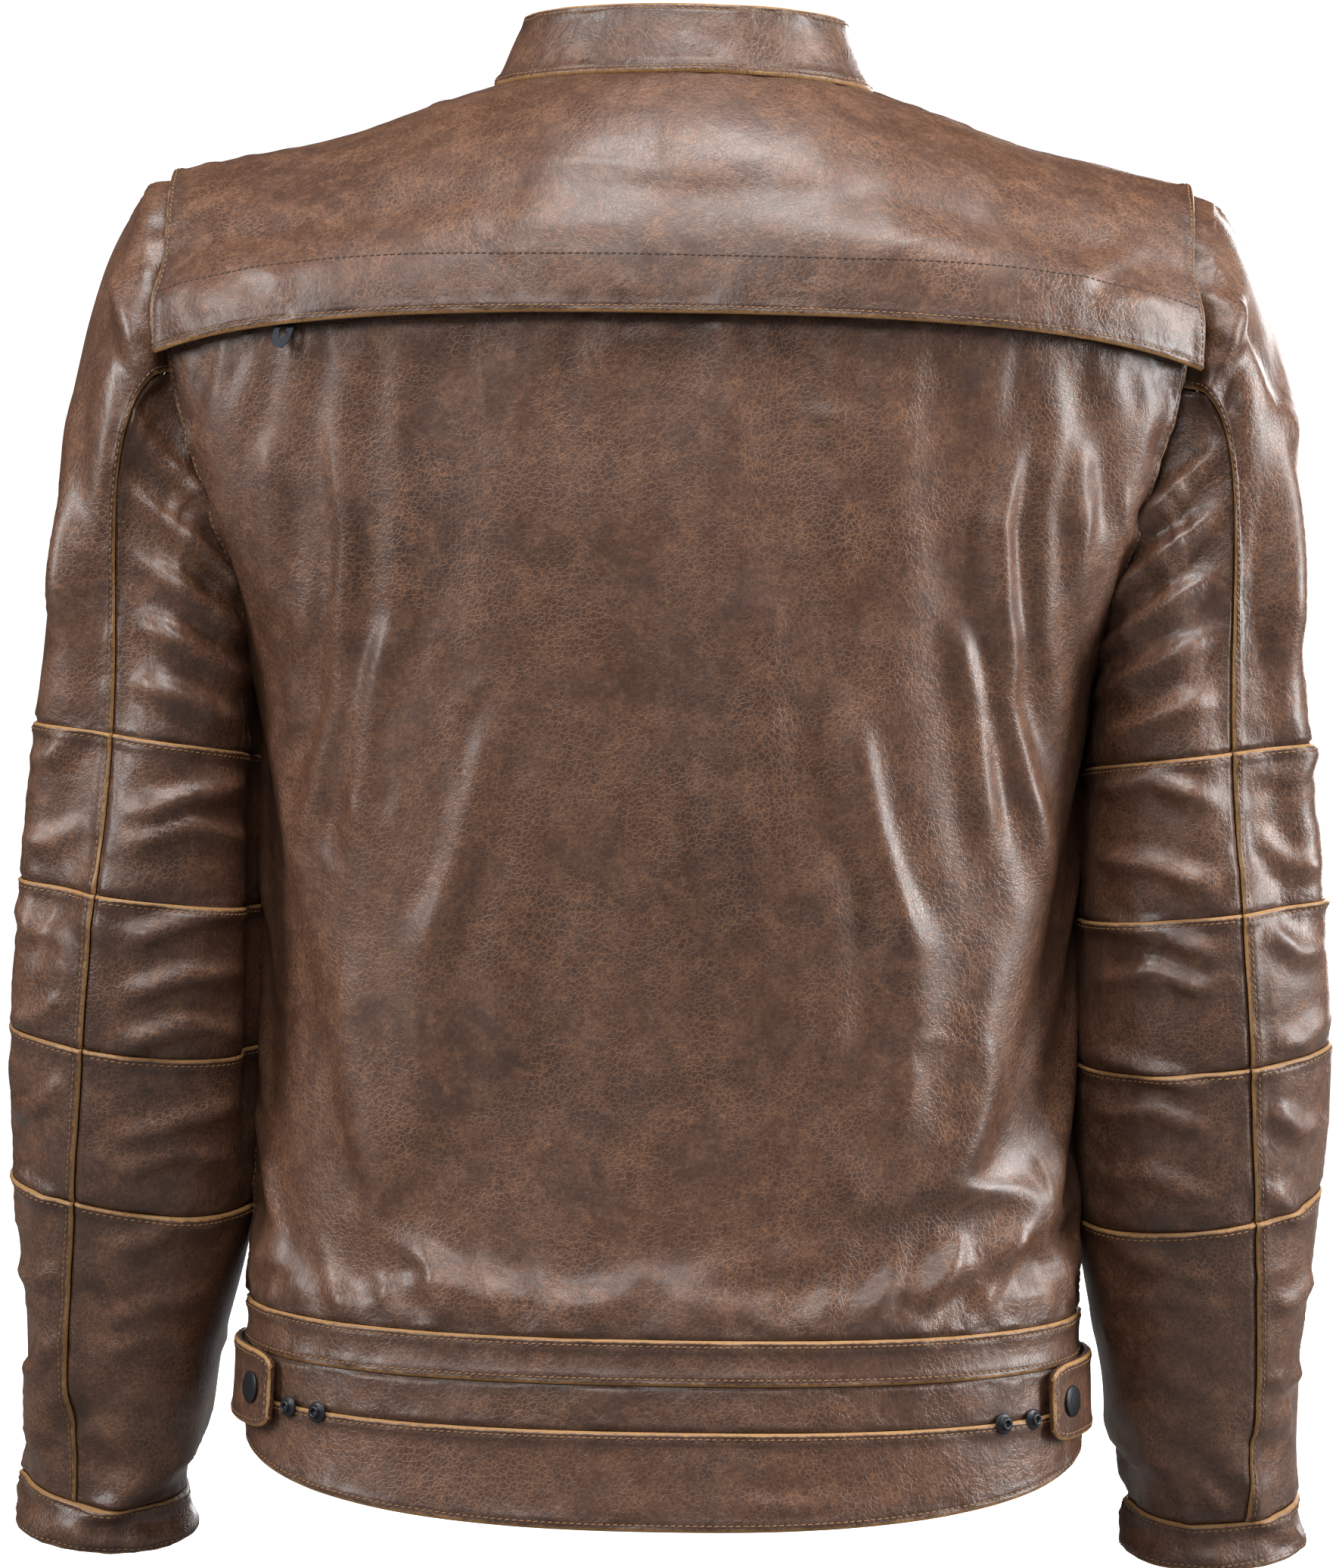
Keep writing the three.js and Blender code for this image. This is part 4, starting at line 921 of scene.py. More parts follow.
def held_edges(rows, columns, loose, top=1.0, bottom=1.0, sides=0.0):
    """How firmly a sheet is held: fully along its seams, loosely elsewhere."""
    j, i = np.meshgrid(np.arange(rows), np.arange(columns), indexing="ij")
    near_top, near_bottom = top * np.exp(-((j / 1.6) ** 2)), bottom * np.exp(-(((rows - 1 - j) / 1.6) ** 2))
    near_side = sides * np.exp(-((np.minimum(i, columns - 1 - i) / 1.6) ** 2))
    return np.maximum(loose, np.maximum(near_side, np.maximum(near_top, near_bottom)))


def draped(surface, folds, rows, columns, hold, wrap=False, flip=False, grow=0.03):
    u = np.arange(columns) / columns if wrap else np.linspace(0, 1, columns)
    base = surface(*np.meshgrid(u, np.linspace(0, 1, rows)))
    return sampler(base, relaxed(base, start_lumps, hold, wrap, flip, grow), folds)


# ---------------------------------------------------------------- torso panels
def soft(piece, body, *nodes):
    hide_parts(*nodes)
    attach(piece, body)
    return piece


FLAP_LIFT = 8.8
YOKE_SURFACE = shoulder_panel(lambda u, z: across(u) * edge_angle(z), yoke_edge, 0.5)


def flap_lift(u, v):
    return FLAP_LIFT * smooth((v - 0.66) / 0.22)


def torso_back():
    seams = {"top": "over", "bottom": "over", "start": "under", "end": "under"}
    yoke = panel("back_yoke_leather", YOKE_SURFACE,
                 {"top": "under", "bottom": "free", "start": "over", "end": "over"},
                 relief=yoke_relief, lift=flap_lift, rows=[("bottom", 27.0, 3)])
    soft(yoke, "torso", "back_yoke")
    back = back_strip(lambda u: yoke_edge(u) + 4, lambda u: waist_seam(u, 0) + SEAM_GAP / 2)
    whole_back = back_strip(yoke_edge, lambda u: waist_seam(u, 0), trim=0)
    drape = draped(whole_back, back_folds, 84, 92, held_edges(84, 92, 0.02, sides=0.7), grow=0.02)
    edges = {"top": "plain", "bottom": "under", "start": "over", "end": "over"}
    soft(panel("back_panel_leather", back, edges, relief=drape), "torso", "back_panel")
    strips = (
        ("waistband_upper", lambda u: waist_seam(u, 0) + 0.4, lambda u: waist_seam(u, 1) + 0.4, seams),
        ("waistband_lower", lambda u: waist_seam(u, 1) + 0.4, lambda u: waist_seam(u, 2) + 0.4,
         dict(seams, top="under", bottom="under")),
        ("hem_panel", lambda u: waist_seam(u, 2) + 0.4, hem_edge, dict(seams, bottom="free")),
    )
    for node, top, bottom, kinds in strips:
        soft(panel(f"{node}_leather", back_strip(top, bottom), kinds, relief=strip_relief), "torso", node)


ZIP_EDGE = 7.0


def front_angle(side):
    def at(u, z):
        start = np.arcsin((ZIP_EDGE / half_width(z)) ** (POWER / 2))
        share = 1 - u if side > 0 else u
        return side * (math.pi - lerp(edge_angle(z) - math.radians(0.15), start, share))

    return at


def torso_front():
    for name, side in SIDES:
        angle_at = front_angle(side)

        def side_share(u, side=side):
            return u if side > 0 else 1 - u

        def waist(u):
            return lerp(-584, -570, side_share(u))

        def low(u, v):
            z = lerp(waist(u), lerp(-646, -633, side_share(u)), v)
            return torso(angle_at(u, z), z)

        at_zip, at_side = ("start", "end") if side > 0 else ("end", "start")
        front = shoulder_panel(angle_at, lambda u: waist(u) + SEAM_GAP / 2, 0.35)
        drape = draped(front, front_folds, 76, 44, held_edges(76, 44, 0.02, sides=0.8), flip=True, grow=0.025)
        edges = {"top": "under", "bottom": "under", at_zip: "free", at_side: "under"}
        piece = panel(f"front_panel_leather_{name}", front, edges, flip=True, relief=drape,
                      opening=pocket_opening(side, 0.4))
        soft(piece, "torso", f"front_panel_{name}")
        edges = {"top": "over", "bottom": "free", at_zip: "free", at_side: "over"}
        piece = panel(f"front_waist_leather_{name}", low, edges, flip=True, relief=strip_relief)
        soft(piece, "torso", f"front_waist_{name}")


# ---------------------------------------------------------------- sleeves
def sleeve_piece(at, part, gap=0.15):
    """One leather piece of a sleeve, from one long seam to the other: at(angle, v) is (surface, height)."""

    def surface(u, v):
        z = at(0 * v, v)[1]
        back = back_seam(z)
        first, last = (FRONT_SEAM, back) if part == "outer" else (back, FRONT_SEAM + 360)
        return at(np.radians(lerp(first + gap, last - gap, u)), v)[0]

    return surface


def between(top, bottom):
    return lambda angle, v: (sleeve_ring(angle, lerp(top, bottom, v)), lerp(top, bottom, v))


def head_piece(angle, v):
    return sleeve_head(angle, v), BANDS[0] + 0 * v


def whole_sleeve(side):
    def surface(u, v):
        angle = math.tau * u
        head = sleeve_head(angle, np.minimum(1, v / 0.4))
        ring = sleeve_ring(angle, lerp(BANDS[0], CUFF_END, np.maximum(0, v - 0.4) / 0.6))
        return np.where((v < 0.4)[..., None], head, ring) * np.array([side, 1, 1])

    return surface


def sleeve_drape(side):
    rows, columns = 104, 64
    hold = held_edges(rows, columns, 0.02, bottom=0.6)
    return draped(whole_sleeve(side), sleeve_folds, rows, columns, hold, wrap=True, flip=side > 0, grow=0.045)


ARMPIT = np.array([0.198, 0.062, -0.275])
ARMPIT_END = ARMPIT + 0.085 * np.array([0.5, 0, -0.866])
ELBOW_START, ELBOW_END = np.array([0.258, 0.0615, -0.395]), np.array([0.258, 0.0615, -0.501])


def over_joint(piece, upper, lower, start, end, side, *nodes):
    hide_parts(*nodes)
    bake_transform(piece)


def sleeves():
    for name, side in SIDES:
        options = dict(side=side, flip=side > 0, relief=sleeve_drape(side))
        top_edges = {"top": "over", "bottom": "under", "start": "over", "end": "over"}
        under_edges = dict(top_edges, start="under", end="under")
        shoulder = ("torso", f"sleeve_{name}", ARMPIT, ARMPIT_END, side)
        elbow = (f"sleeve_{name}", f"forearm_{name}", ELBOW_START, ELBOW_END, side)
        for part, edges in (("outer", top_edges), ("under", under_edges)):
            node = f"sleeve_upper_{part}_{name}"
            head_edges = dict(edges, top="under")
            piece = panel(f"{node}_leather", sleeve_piece(head_piece, part), head_edges, **options)
            over_joint(piece, *shoulder, node)
            for band in range(3):
                node = f"elbow_{part}_{band + 1}_{name}"
                surface = sleeve_piece(between(BANDS[band], BANDS[band + 1]), part)
                piece = panel(f"{node}_leather", surface, edges, **options)
                over_joint(piece, *(elbow if band else shoulder), node)
            node = f"forearm_{part}_{name}"
            surface = sleeve_piece(between(BANDS[3], CUFF_TOP), part)
            piece = panel(f"{node}_leather", surface, edges, **options)
            soft(piece, f"forearm_{name}", node)
        cuff = panel(f"cuff_{name}_leather",
                     lambda u, v: sleeve_ring(math.tau * u, lerp(CUFF_TOP, CUFF_END, v)),
                     {"top": "over", "bottom": "free"}, wrap=True, **options)
        soft(cuff, f"forearm_{name}", f"cuff_{name}")


# ---------------------------------------------------------------- collar
def leaning(angle, rise):
    """A point of the collar at a height above the neck seam."""
    seam = neck(angle)
    shrink = 1 - COLLAR_LEAN / NECK_X * rise / COLLAR_HEIGHT
    forward = -0.175 * rise * (1 - np.cos(angle))
    return np.stack([
        seam[..., 0] * shrink,
        AXIS_Y + (seam[..., 1] - AXIS_Y) * shrink + forward,
        seam[..., 2] + COLLAR_CLEAR + rise], -1)


def collar(u, v):
    limit = math.pi - math.radians(COLLAR_END)
    angle = across(u) * limit
    to_end = np.clip((limit - np.abs(angle)) / math.radians(22), 0, 1)
    return leaning(angle, (1 - v) * COLLAR_HEIGHT * (0.55 + 0.45 * np.sqrt(1 - (1 - to_end) ** 2)))


COLLAR_TAB = {
    "from": 163, "to": 191, "half": 0.29, "middle": 0.53, "height": 19.2, "outer": 4.2, "thickness": 2.6}


def collar_tab(u, v):
    pointed = np.clip((u - 0.72) / 0.28, 0, 1)
    height = COLLAR_TAB["middle"] + COLLAR_TAB["half"] * (1 - 0.45 * pointed ** 2) * (2 * v - 1)
    angle = np.radians(lerp(COLLAR_TAB["from"], COLLAR_TAB["to"], u))
    return leaning(angle, (1 - height) * COLLAR_TAB["height"])


def collar_relief(points, normals):
    return 0.45 * noise(points, 26, 12) + 0.2 * noise(points, 9, 13)


def collar_pieces():
    edges = {"top": "free", "bottom": "over", "start": "free", "end": "free"}
    outer = panel("collar_outer_leather", lambda u, v: collar(u, v * 1.09), edges, offset=0.7, step=2.0,
                  relief=collar_relief)
    soft(outer, "torso", "collar_outer")
    lining = panel("collar_lining_cloth", lambda u, v: collar(u, lerp(0.02, 1.08, v)),
                   {"top": "plain"}, step=3.0,
                   offset=-1.05, thickness=1.2, materials=LINING_SET, puckers=False, slot="lining")
    soft(lining, "torso", "collar_lining")
    kinds = {"top": "free", "bottom": "free", "start": "plain", "end": "free"}
    tab = panel("collar_tab_leather", collar_tab, kinds, step=1.5, offset=COLLAR_TAB["outer"],
                thickness=COLLAR_TAB["thickness"], puckers=False)
    soft(tab, "collar_tab", "collar_tab")
    axes = surface_axes(collar_tab, 0.8, 0.5)
    snap = turned("collar_snap_cap", snap_outline(COLLAR_TAB["outer"] + 0.2, 6.2), axes, SNAP)
    soft(snap, "collar_tab", "collar_snap")


def hang_loop():
    """A flat strap inside the back of the neck, standing a little away from the collar."""
    low, high = (np.array(corner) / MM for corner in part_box("hang_loop"))

    def strap(u, v):
        x = lerp(low[0], high[0], u)
        stand = smooth((1 - np.abs(across(u))) / 0.24)
        return np.stack([x, lerp(low[1], high[1] - 1.6, stand), lerp(high[2], low[2], v)], -1)

    edges = {"top": "plain", "bottom": "plain"}
    piece = panel("hang_loop_strap", strap, edges, step=1.5, flip=True, offset=1.4, thickness=1.4,
                  materials=(TAPE, TAPE, TAPE), puckers=False, slot="lining")
    soft(piece, "torso", "hang_loop")


# ---------------------------------------------------------------- tabs, snaps and studs
def surface_axes(at, u, v, side=1):
    """The point and the right, up and outward directions of a surface at (u, v)."""
    step = 1e-3
    mirror = np.array([side, 1, 1])
    here, right, left, above, below = (
        at(np.array(a), np.array(b)) * mirror
        for a, b in ((u, v), (u + step, v), (u - step, v), (u, v - step), (u, v + step)))
    x_axis = unit(right - left)
    z_axis = unit(np.cross(x_axis, above - below))
    return here, x_axis, np.cross(z_axis, x_axis), z_axis


def turned(name, outline, axes, material, segments=36):
    """A turned body from (radius, height) pairs, closed by a small face at each end."""
    centre, x_axis, y_axis, z_axis = axes
    turn = np.arange(segments) * math.tau / segments
    rings = [centre + r * np.cos(a) * x_axis + r * np.sin(a) * y_axis + h * z_axis
             for r, h in outline for a in turn]
    faces = grid_faces(len(outline), segments, wrap=True)[:, ::-1]
    strips = np.array([(k, k + 1, segments - 2 - k, segments - 1 - k) for k in range(segments // 2 - 1)])
    last = (len(outline) - 1) * segments
    faces = np.concatenate([faces, strips[:, ::-1], strips + last])
    piece = make_object(name, np.array(rings), faces, np.zeros(len(faces)), (material,))
    return piece


def snap_outline(base, radius):
    """A domed cap with a rolled rim and a shallow ring pressed into its top."""
    rim = [(0.6, base), (radius - 1, base), (radius - 0.25, base + 0.15),
           (radius, base + 0.5), (radius - 0.1, base + 0.9)]
    dome = [(radius - 0.5, base + 1.15), (radius * 0.84, base + 1.3), (radius * 0.72, base + 1.55),
            (radius * 0.62, base + 1.75), (radius * 0.56, base + 1.68), (radius * 0.5, base + 1.8),
            (radius * 0.3, base + 1.93), (0.3, base + 1.98)]
    return rim + dome


STUD_OUTLINE = [
    (0.5, 0.6), (4.4, 0.6), (4.9, 0.9), (4.9, 1.5), (4.6, 1.9),
    (3.9, 2.1), (3.3, 2.3), (2.9, 2.7), (2.8, 3.4),
    (2.75, 4.0), (2.5, 4.3), (2.1, 4.4), (1.7, 4.3), (1.4, 4.0), (1.3, 3.3), (1.0, 2.8), (0.3, 2.7),
]
STUD_COUNT, STUD_FIRST, STUD_PITCH = 2, 0.821, 0.044
TAB_FREE, TAB_SEWN, TAB_HEIGHT, TAB_STEP, TAB_OUTER, TAB_THICKNESS = 62, 97, 36, 1.75, 5.6, 3.0


def tab_surface(side):
    def at(u, v):
        degrees = lerp(TAB_FREE, TAB_SEWN, u if side > 0 else 1 - u)
        seam_u = 0.5 + side * 0.5 * np.minimum(1, degrees / 90)
        near_end = np.clip((degrees - TAB_FREE) / 7, 0, 1)
        half = TAB_HEIGHT / 2 - 6 * (1 - np.sqrt(1 - (1 - near_end) ** 2))
        return torso(side * np.radians(degrees), waist_seam(seam_u, TAB_STEP) + half * (1 - 2 * v))

    return at


def tab_relief(points, normals):
    """The slight unevenness of a tab's leather."""
    return 0.5 * noise(points, 24, 14) + 0.25 * noise(points, 10, 15)


def tabs_and_studs():
    waist_line = back_strip(lambda u: waist_seam(u, 2) + 10, lambda u: waist_seam(u, 2) - 10)
    for name, side in SIDES:
        free, sewn = ("start", "end") if side > 0 else ("end", "start")
        surface = tab_surface(side)
        edges = {"top": "free", "bottom": "free", free: "free", sewn: "plain"}
        tab = panel(f"waist_tab_leather_{name}", surface, edges,
                    step=1.5, offset=TAB_OUTER, relief=tab_relief,
                    thickness=TAB_THICKNESS, puckers=False)
        soft(tab, f"waist_tab_{name}", f"waist_tab_{name}")
        axes = surface_axes(surface, 0.2 if side > 0 else 0.8, 0.5)
        cap = turned(f"tab_snap_cap_{name}", snap_outline(TAB_OUTER + 0.2, 7.4), axes, SNAP)
        soft(cap, f"waist_tab_{name}", f"tab_snap_{name}")
        for k in range(STUD_COUNT):
            u = 0.5 + side * (STUD_FIRST - STUD_PITCH * k - 0.5)
            axes = surface_axes(waist_line, u, 0.5)
            stud = turned(f"stud_{name}_{k + 1}", STUD_OUTLINE, axes, SNAP)
            soft(stud, "torso", f"stud_row_{name}")


# ---------------------------------------------------------------- zips and pocket openings
TOOTH_POINTS = np.array([
    (x * s, y * s, z)
    for z, s in ((-0.5, 0.5), (0.5, 0.42))
    for x, y in ((-1, -1), (1, -1), (1, 1), (-1, 1))])
TOOTH_FACES = np.array([(3, 2, 1, 0), (4, 5, 6, 7), (0, 1, 5, 4), (1, 2, 6, 5), (2, 3, 7, 6), (3, 0, 4, 7)])
TOOTH = (TOOTH_POINTS, TOOTH_FACES)


def zip_half(name, at, side, length, edge, outer, level):
    """One tape and its teeth: at(along, across, raised) gives points, side is where the tape lies."""
    rows = max(2, int(length / 4))
    along_tape = np.linspace(0, length, rows)[:, None] + np.zeros((1, 5))
    across_tape = side * np.linspace(edge, outer, 5)[None] + np.zeros((rows, 1))
    top, bottom = at(along_tape, across_tape, level), at(along_tape, across_tape, level - 1.0)
    front, back, rims = shell_faces(rows, 5)
    tape = np.concatenate([top.reshape(-1, 3), bottom.reshape(-1, 3)])
    tape_faces = np.concatenate([front, back, rims])
    if side < 0:
        tape_faces = tape_faces[:, ::-1]
    places = np.arange(3.0 + (1.3 if side > 0 else 0), length - 3, 2.6)
    centre = at(places, side * 1.05 + 0 * places, level + 0.7)
    right = unit(at(places, 1 + 0 * places, level) - at(places, 0 * places, level))
    up = unit(at(places + 0.5, 0 * places, level) - at(places - 0.5, 0 * places, level))
    teeth, teeth_faces = scattered(TOOTH, centre, right, up, np.cross(right, up), (3.4, 1.25, 1.8))
    points = np.concatenate([tape, teeth])
    faces = np.concatenate([tape_faces, teeth_faces + len(tape)])
    slots = np.concatenate([np.zeros(len(tape_faces)), np.ones(len(teeth_faces))])
    piece = make_object(name, points, faces, slots, (TAPE, METAL))
    return piece


def front_point(x, z):
    """The point of the front at a place seen from straight ahead."""
    angle = np.sign(x) * (math.pi - np.arcsin((np.abs(x) / half_width(z)) ** (POWER / 2)))
    return torso(angle, z)


ZIP_TOP, ZIP_BOTTOM, FRONT_LEAN = -85.0, -644.0, 46 / 568
POCKET_X, POCKET_Z, POCKET_LEAN, POCKET_LENGTH, POCKET_WIDTH = 104.0, -474.0, math.radians(17), 130.0, 11.0


def main_zip_at(along_zip, across_zip, raised):
    up = unit(np.array([0, -FRONT_LEAN, 1.0]))
    out = np.cross([-1.0, 0, 0], up)
    foot = np.array([0, AXIS_Y + front_depth(ZIP_BOTTOM), ZIP_BOTTOM])
    right = np.array([-1.0, 0, 0])
    along_zip, across_zip = np.asarray(along_zip)[..., None], np.asarray(across_zip)[..., None]
    return foot + along_zip * up + across_zip * right + raised * out


def pocket_axes(side):
    here = front_point(side * POCKET_X, POCKET_Z)
    across_step = front_point(side * POCKET_X - 1.0, POCKET_Z) - front_point(side * POCKET_X + 1.0, POCKET_Z)
    right = unit(across_step)
    up = unit(front_point(side * POCKET_X, POCKET_Z + 5) - front_point(side * POCKET_X, POCKET_Z - 5))
    out = unit(np.cross(right, up))
    up = np.cross(out, right)
    turn = -side * POCKET_LEAN
    turned_right = right * math.cos(turn) + up * math.sin(turn)
    turned_up = up * math.cos(turn) - right * math.sin(turn)
    return here, turned_right, turned_up, out


def pocket_opening(side, margin=0.0):
    """Tells which points of a front lie in the rounded slot of its pocket."""
    here, right, up, _ = pocket_axes(side)

    def inside(points):
        x, y = (points - here) @ right, (points - here) @ up
        past_end = np.maximum(0, np.abs(y) - (POCKET_LENGTH - POCKET_WIDTH) / 2)
        return np.hypot(x, past_end) < POCKET_WIDTH / 2 + margin

    return inside


def pocket_welt(side):
    """A rounded leather lip all round the pocket's slot, lying on the front."""
    here, right, up, _ = pocket_axes(side)
    reach, straight = POCKET_WIDTH / 2 + 1.6, (POCKET_LENGTH - POCKET_WIDTH) / 2
    half_turn = np.linspace(0, math.pi, 15)
    heights = np.linspace(-straight, straight, 40)[1:-1]
    right_side = [(reach, y) for y in heights]
    left_side = [(-reach, y) for y in heights[::-1]]
    top = [(reach * math.cos(a), straight + reach * math.sin(a)) for a in half_turn]
    bottom = [(-reach * math.cos(a), -straight - reach * math.sin(a)) for a in half_turn]
    loop = np.array(right_side + top + left_side + bottom)
    flat = here + loop[:, :1] * right + loop[:, 1:] * up
    centre = front_point(flat[:, 0], flat[:, 2])
    tangent = unit(np.roll(centre, -1, 0) - np.roll(centre, 1, 0))
    out = np.cross(right, up)
    inward = unit(np.cross(np.broadcast_to(out, tangent.shape), tangent))
    section = np.array([
        (-3.6, -0.9), (-3.5, 0.1), (-3.0, 0.75), (-1.8, 0.95), (-0.9, 0.7), (0.3, 1.25),
        (1.5, 1.3), (2.4, 0.7), (2.7, -0.3), (2.3, -1.3), (0.8, -1.9), (-2.0, -1.9)])
    points = centre[:, None] + section[None, :, :1] * inward[:, None] + section[None, :, 1:] * out
    count, around = len(loop), len(section)
    j, i = np.meshgrid(np.arange(count), np.arange(around), indexing="ij")
    nj, ni = (j + 1) % count, (i + 1) % around
    faces = np.stack([j * around + i, nj * around + i, nj * around + ni, j * around + ni], -1).reshape(-1, 4)
    return points.reshape(-1, 3), faces


def zips():
    length = (ZIP_TOP - ZIP_BOTTOM) * math.hypot(1, FRONT_LEAN)
    for name, side in SIDES:
        half = zip_half(f"main_zip_teeth_{name}", main_zip_at, -side, length, 0.45, 15.0, -3.2)
        soft(half, "torso", f"main_zip_{name}")
        here, right, up, out = pocket_axes(side)

        def pocket_at(along_zip, across_zip, raised):
            along_zip = np.asarray(along_zip)[..., None] - POCKET_LENGTH / 2
            return here + along_zip * up + np.asarray(across_zip)[..., None] * right + raised * out

        for half_name, half_side in (("inner", -1), ("outer", 1)):
            half = zip_half(f"pocket_zip_{half_name}_{name}", pocket_at, half_side,
                            POCKET_LENGTH, 0.45, 12.0, -5.0)
            soft(half, "torso", f"pocket_zip_{name}")
        points, faces = pocket_welt(side)
        welt = make_object(f"pocket_welt_{name}", points, faces, np.zeros(len(faces)), (LEATHER_PLAIN,))
        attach(welt, "torso")


# ---------------------------------------------------------------- linings and armour
LINING_COLUMNS, LINING_ROWS, ARMHOLE_ROWS, FINER = 22, 11, 6, 6


def lining_angle(column, z):
    back = np.minimum(edge_angle(z) - math.radians(2), math.radians(64))
    front = math.pi - back
    past = (column - 4) / 2
    toward_zip = lerp(front, math.pi - math.radians(7), (past - 1) * 2 / 5)
    return np.where(column <= 4, column / 4 * back, np.where(past <= 1, lerp(back, front, past), toward_zip))


def lining_top(column):
    angle = lining_angle(column, ARMHOLE_TOP)
    x = half_width(-20.0) * np.sin(angle) ** (2 / POWER)
    front = angle > math.pi / 2
    turn = np.arcsin(np.minimum(1, x / NECK_X))
    seam = neck(np.where(front, math.pi - turn, turn))[..., 2]
    ridge = shoulder_ridge(np.minimum(x, armhole_x(ARMHOLE_TOP)))
    return np.minimum(ridge, seam) - np.where(front, 19, 14)


def lining_surface(u, v):
    column, row = (u - 0.5) * LINING_COLUMNS, v * LINING_ROWS
    above = (np.minimum(row, ARMHOLE_ROWS) / ARMHOLE_ROWS) ** 1.5
    below = np.maximum(0, row - ARMHOLE_ROWS) / (LINING_ROWS - ARMHOLE_ROWS)
    z = np.where(row < ARMHOLE_ROWS, lerp(lining_top(np.abs(column)), -292, above), lerp(-292, -618, below))
    return torso(np.where(column < 0, -1, 1) * lining_angle(np.abs(column), z), z)


def body_lining():
    u, v = np.meshgrid(np.linspace(0, 1, LINING_COLUMNS * FINER + 1),
                       np.linspace(0, 1, LINING_ROWS * FINER + 1))
    base = lining_surface(u, v)
    normals = grid_normals(base)
    wrinkles = 0.9 * noise(base, 40, 6) + 0.5 * noise(base * np.array([1, 1, 0.5]), 14, 7)
    j, i = np.meshgrid(np.arange(LINING_ROWS * FINER), np.arange(LINING_COLUMNS * FINER), indexing="ij")
    column = np.abs((i + 0.5) / FINER - LINING_COLUMNS / 2)
    kept = (j >= ARMHOLE_ROWS * FINER) | (column < 4) | (column > 6)
    outer = base + normals * (wrinkles - 12)[..., None]
    piece = shell("body_lining_cloth", outer, outer - 1.2 * normals, LINING_SET, kept=kept)
    soft(piece, "torso", "body_lining")


ARMOUR_TOP, ARMOUR_BOTTOM = -376.0, -504.0


def sleeve_insides():
    """Two lengths of lining and the elbow armour of each sleeve."""
    lengths = (
        ("upper", lambda angle, v: sleeve_head(angle, lerp(0.08, 1, v))),
        ("elbow", lambda angle, v: sleeve_ring(angle, lerp(BANDS[0], -378.0, v))),
        ("lower", lambda angle, v: sleeve_ring(angle, lerp(-378.0, CUFF_END + 12, v))),
    )
    for name, side in SIDES:
        for part, at in lengths:
            piece = panel(f"sleeve_lining_{part}_{name}",
                          lambda u, v, at=at: at(math.tau * u, v), {}, wrap=True,
                          side=side, flip=side > 0, step=6.0, offset=-11, thickness=1.2, materials=LINING_SET,
                          puckers=False, slot="lining")
            if part == "lower":
                over_joint(piece, f"sleeve_{name}", f"forearm_{name}", ELBOW_START, ELBOW_END, side,
                           f"sleeve_lining_{name}")
            else:
                over_joint(piece, "torso", f"sleeve_{name}", ARMPIT, ARMPIT_END, side,
                           f"sleeve_lining_{name}")
        u, v = np.meshgrid(np.linspace(0, 1, 25), np.linspace(0, 1, 29))
        ring = sleeve_ring(np.radians(lerp(45, 135, u)), lerp(ARMOUR_TOP, ARMOUR_BOTTOM, v))
        base = ring * np.array([side, 1, 1])
        normals = grid_normals(base) * (-1 if side > 0 else 1)
        crown = (1 - across(u) ** 2) * (1 - across(v) ** 2)
        vents = 0.7 * np.cos(u * math.tau * 4) * np.cos(v * math.tau * 5) * smooth(crown / 0.3)
        face = np.minimum(-3.9, -9.0 + 4.5 * crown + vents)
        pad = shell(f"elbow_pad_{name}", base + normals * face[..., None], base - 9.8 * normals, (PAD, PAD),
                    flip=side > 0)
        over_joint(pad, f"sleeve_{name}", f"forearm_{name}", ELBOW_START, ELBOW_END, side,
                   f"elbow_armour_{name}")


def hardware():
    """Sliders and pulls keep their CAD shapes and get worn metal."""
    names = ["main_zip_slider", "main_zip_pull", "vent_zip_slider", "vent_zip_pull", "vent_zip"]
    names += [f"pocket_{part}_{name}" for part in ("slider", "pull") for name, _ in SIDES]
    for node in names:
        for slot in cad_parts[node].material_slots:
            slot.material = METAL


torso_back()
torso_front()
sleeves()
collar_pieces()
hang_loop()
tabs_and_studs()
zips()
body_lining()
sleeve_insides()
hardware()


# ---------------------------------------------------------------- light, floor and camera
def area_light(name, place, target, size, power, colour=(1, 1, 1)):
    lamp = bpy.data.lights.new(name, "AREA")
    lamp.shape = "RECTANGLE"
    lamp.size, lamp.size_y = size
    lamp.energy = power
    lamp.color = colour
    holder = bpy.data.objects.new(name, lamp)
    holder.location = place
    holder.rotation_euler = (Vector(target) - Vector(place)).to_track_quat("-Z", "Y").to_euler()
    bpy.context.scene.collection.objects.link(holder)
    return holder


def backdrop_material():
    """Pale and matt, and seen as white by the camera without lighting the jacket."""
    n = Nodes("backdrop")
    seen = n.add("ShaderNodeLightPath").outputs["Is Camera Ray"]
    n.set(Base_Color=n.mix(seen, srgb(120, 118, 116), srgb(226, 228, 230)), Roughness=0.9,
          Emission_Color=(1, 1, 1, 1), Emission_Strength=n.math("MULTIPLY", seen, 0.85))
    return n.material


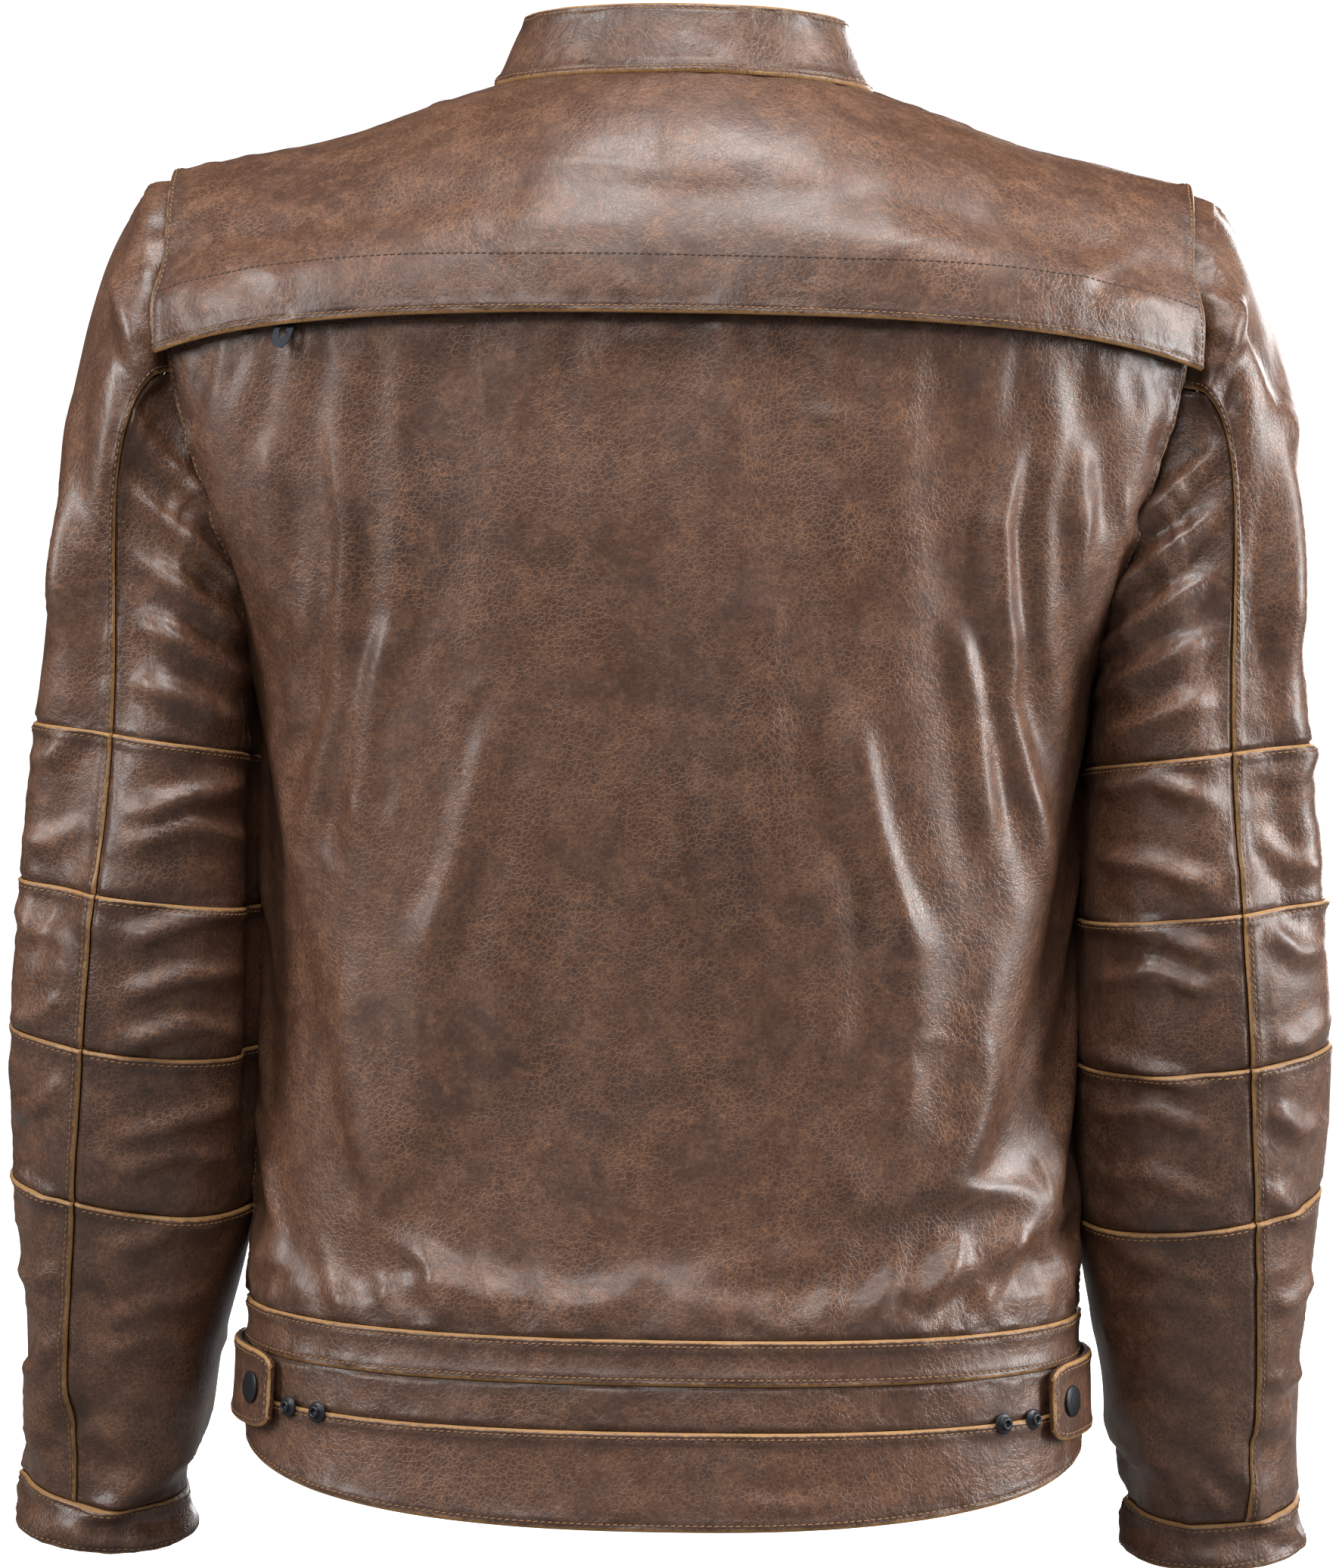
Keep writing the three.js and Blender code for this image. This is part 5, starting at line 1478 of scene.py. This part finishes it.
def backdrop():
    """A pale floor that curves up into a wall behind the jacket."""
    floor, wall, radius, half = -0.78, 6.0, 2.0, 9.0
    steps = 16
    line = [(-7.0, floor)]
    for k in range(steps + 1):
        angle = math.pi / 2 * k / steps
        line.append((wall - radius + radius * math.sin(angle), floor + radius - radius * math.cos(angle)))
    line.append((wall, 7.0))
    points = np.array([[x, y, z] for y, z in line for x in (-half, half)]) / MM
    faces = grid_faces(len(line), 2)
    piece = make_object("backdrop", points, faces, np.zeros(len(faces)), (BACKDROP,))


AMBIENT = 0.12  # strength of the even light from all round


def world_light():
    world = bpy.data.worlds.new("studio")
    world.use_nodes = True
    background = world.node_tree.nodes["Background"]
    background.inputs["Color"].default_value = (0.95, 0.96, 1.0, 1)
    seen = world.node_tree.nodes.new("ShaderNodeLightPath").outputs["Is Camera Ray"]
    strength = world.node_tree.nodes.new("ShaderNodeMapRange")
    strength.inputs["To Min"].default_value, strength.inputs["To Max"].default_value = AMBIENT, 1.0
    world.node_tree.links.new(seen, strength.inputs["Value"])
    world.node_tree.links.new(strength.outputs["Result"], background.inputs["Strength"])
    bpy.context.scene.world = world
    bpy.context.scene.view_settings.view_transform = "Standard"


def camera():
    distance, azimuth, roll = 3.0, math.radians(0.4), math.radians(0.95)
    target = Vector((-0.0015, 0.0, -0.3252))
    lens = bpy.data.cameras.new("camera")
    lens.sensor_fit = "VERTICAL"
    lens.sensor_height = 24
    lens.lens = 24 * distance / 0.7305
    holder = bpy.data.objects.new("camera", lens)
    place = target + distance * Vector((math.sin(azimuth), -math.cos(azimuth), 0))
    turn = (target - place).to_track_quat("-Z", "Y").to_matrix().to_4x4()
    holder.matrix_world = Matrix.Translation(place) @ turn @ Matrix.Rotation(roll, 4, "Z")
    bpy.context.scene.collection.objects.link(holder)
    bpy.context.scene.camera = holder


BACKDROP = backdrop_material()
backdrop()
world_light()
area_light("left_box", (-2.1, -0.9, 0.7), (0, 0, -0.3), (0.6, 1.6), 56)
area_light("right_box", (2.2, -0.25, 0.4), (0, 0, -0.3), (0.7, 1.8), 92)
area_light("front_box", (-0.7, -3.2, 1.7), (0, 0, -0.3), (1.4, 1.0), 58)
area_light("far_box", (1.2, 3.2, 0.2), (0, 0, -0.35), (1.4, 1.4), 60)
area_light("top_box", (0.2, -0.8, 1.9), (0, 0, -0.2), (1.6, 0.6), 62)
camera()
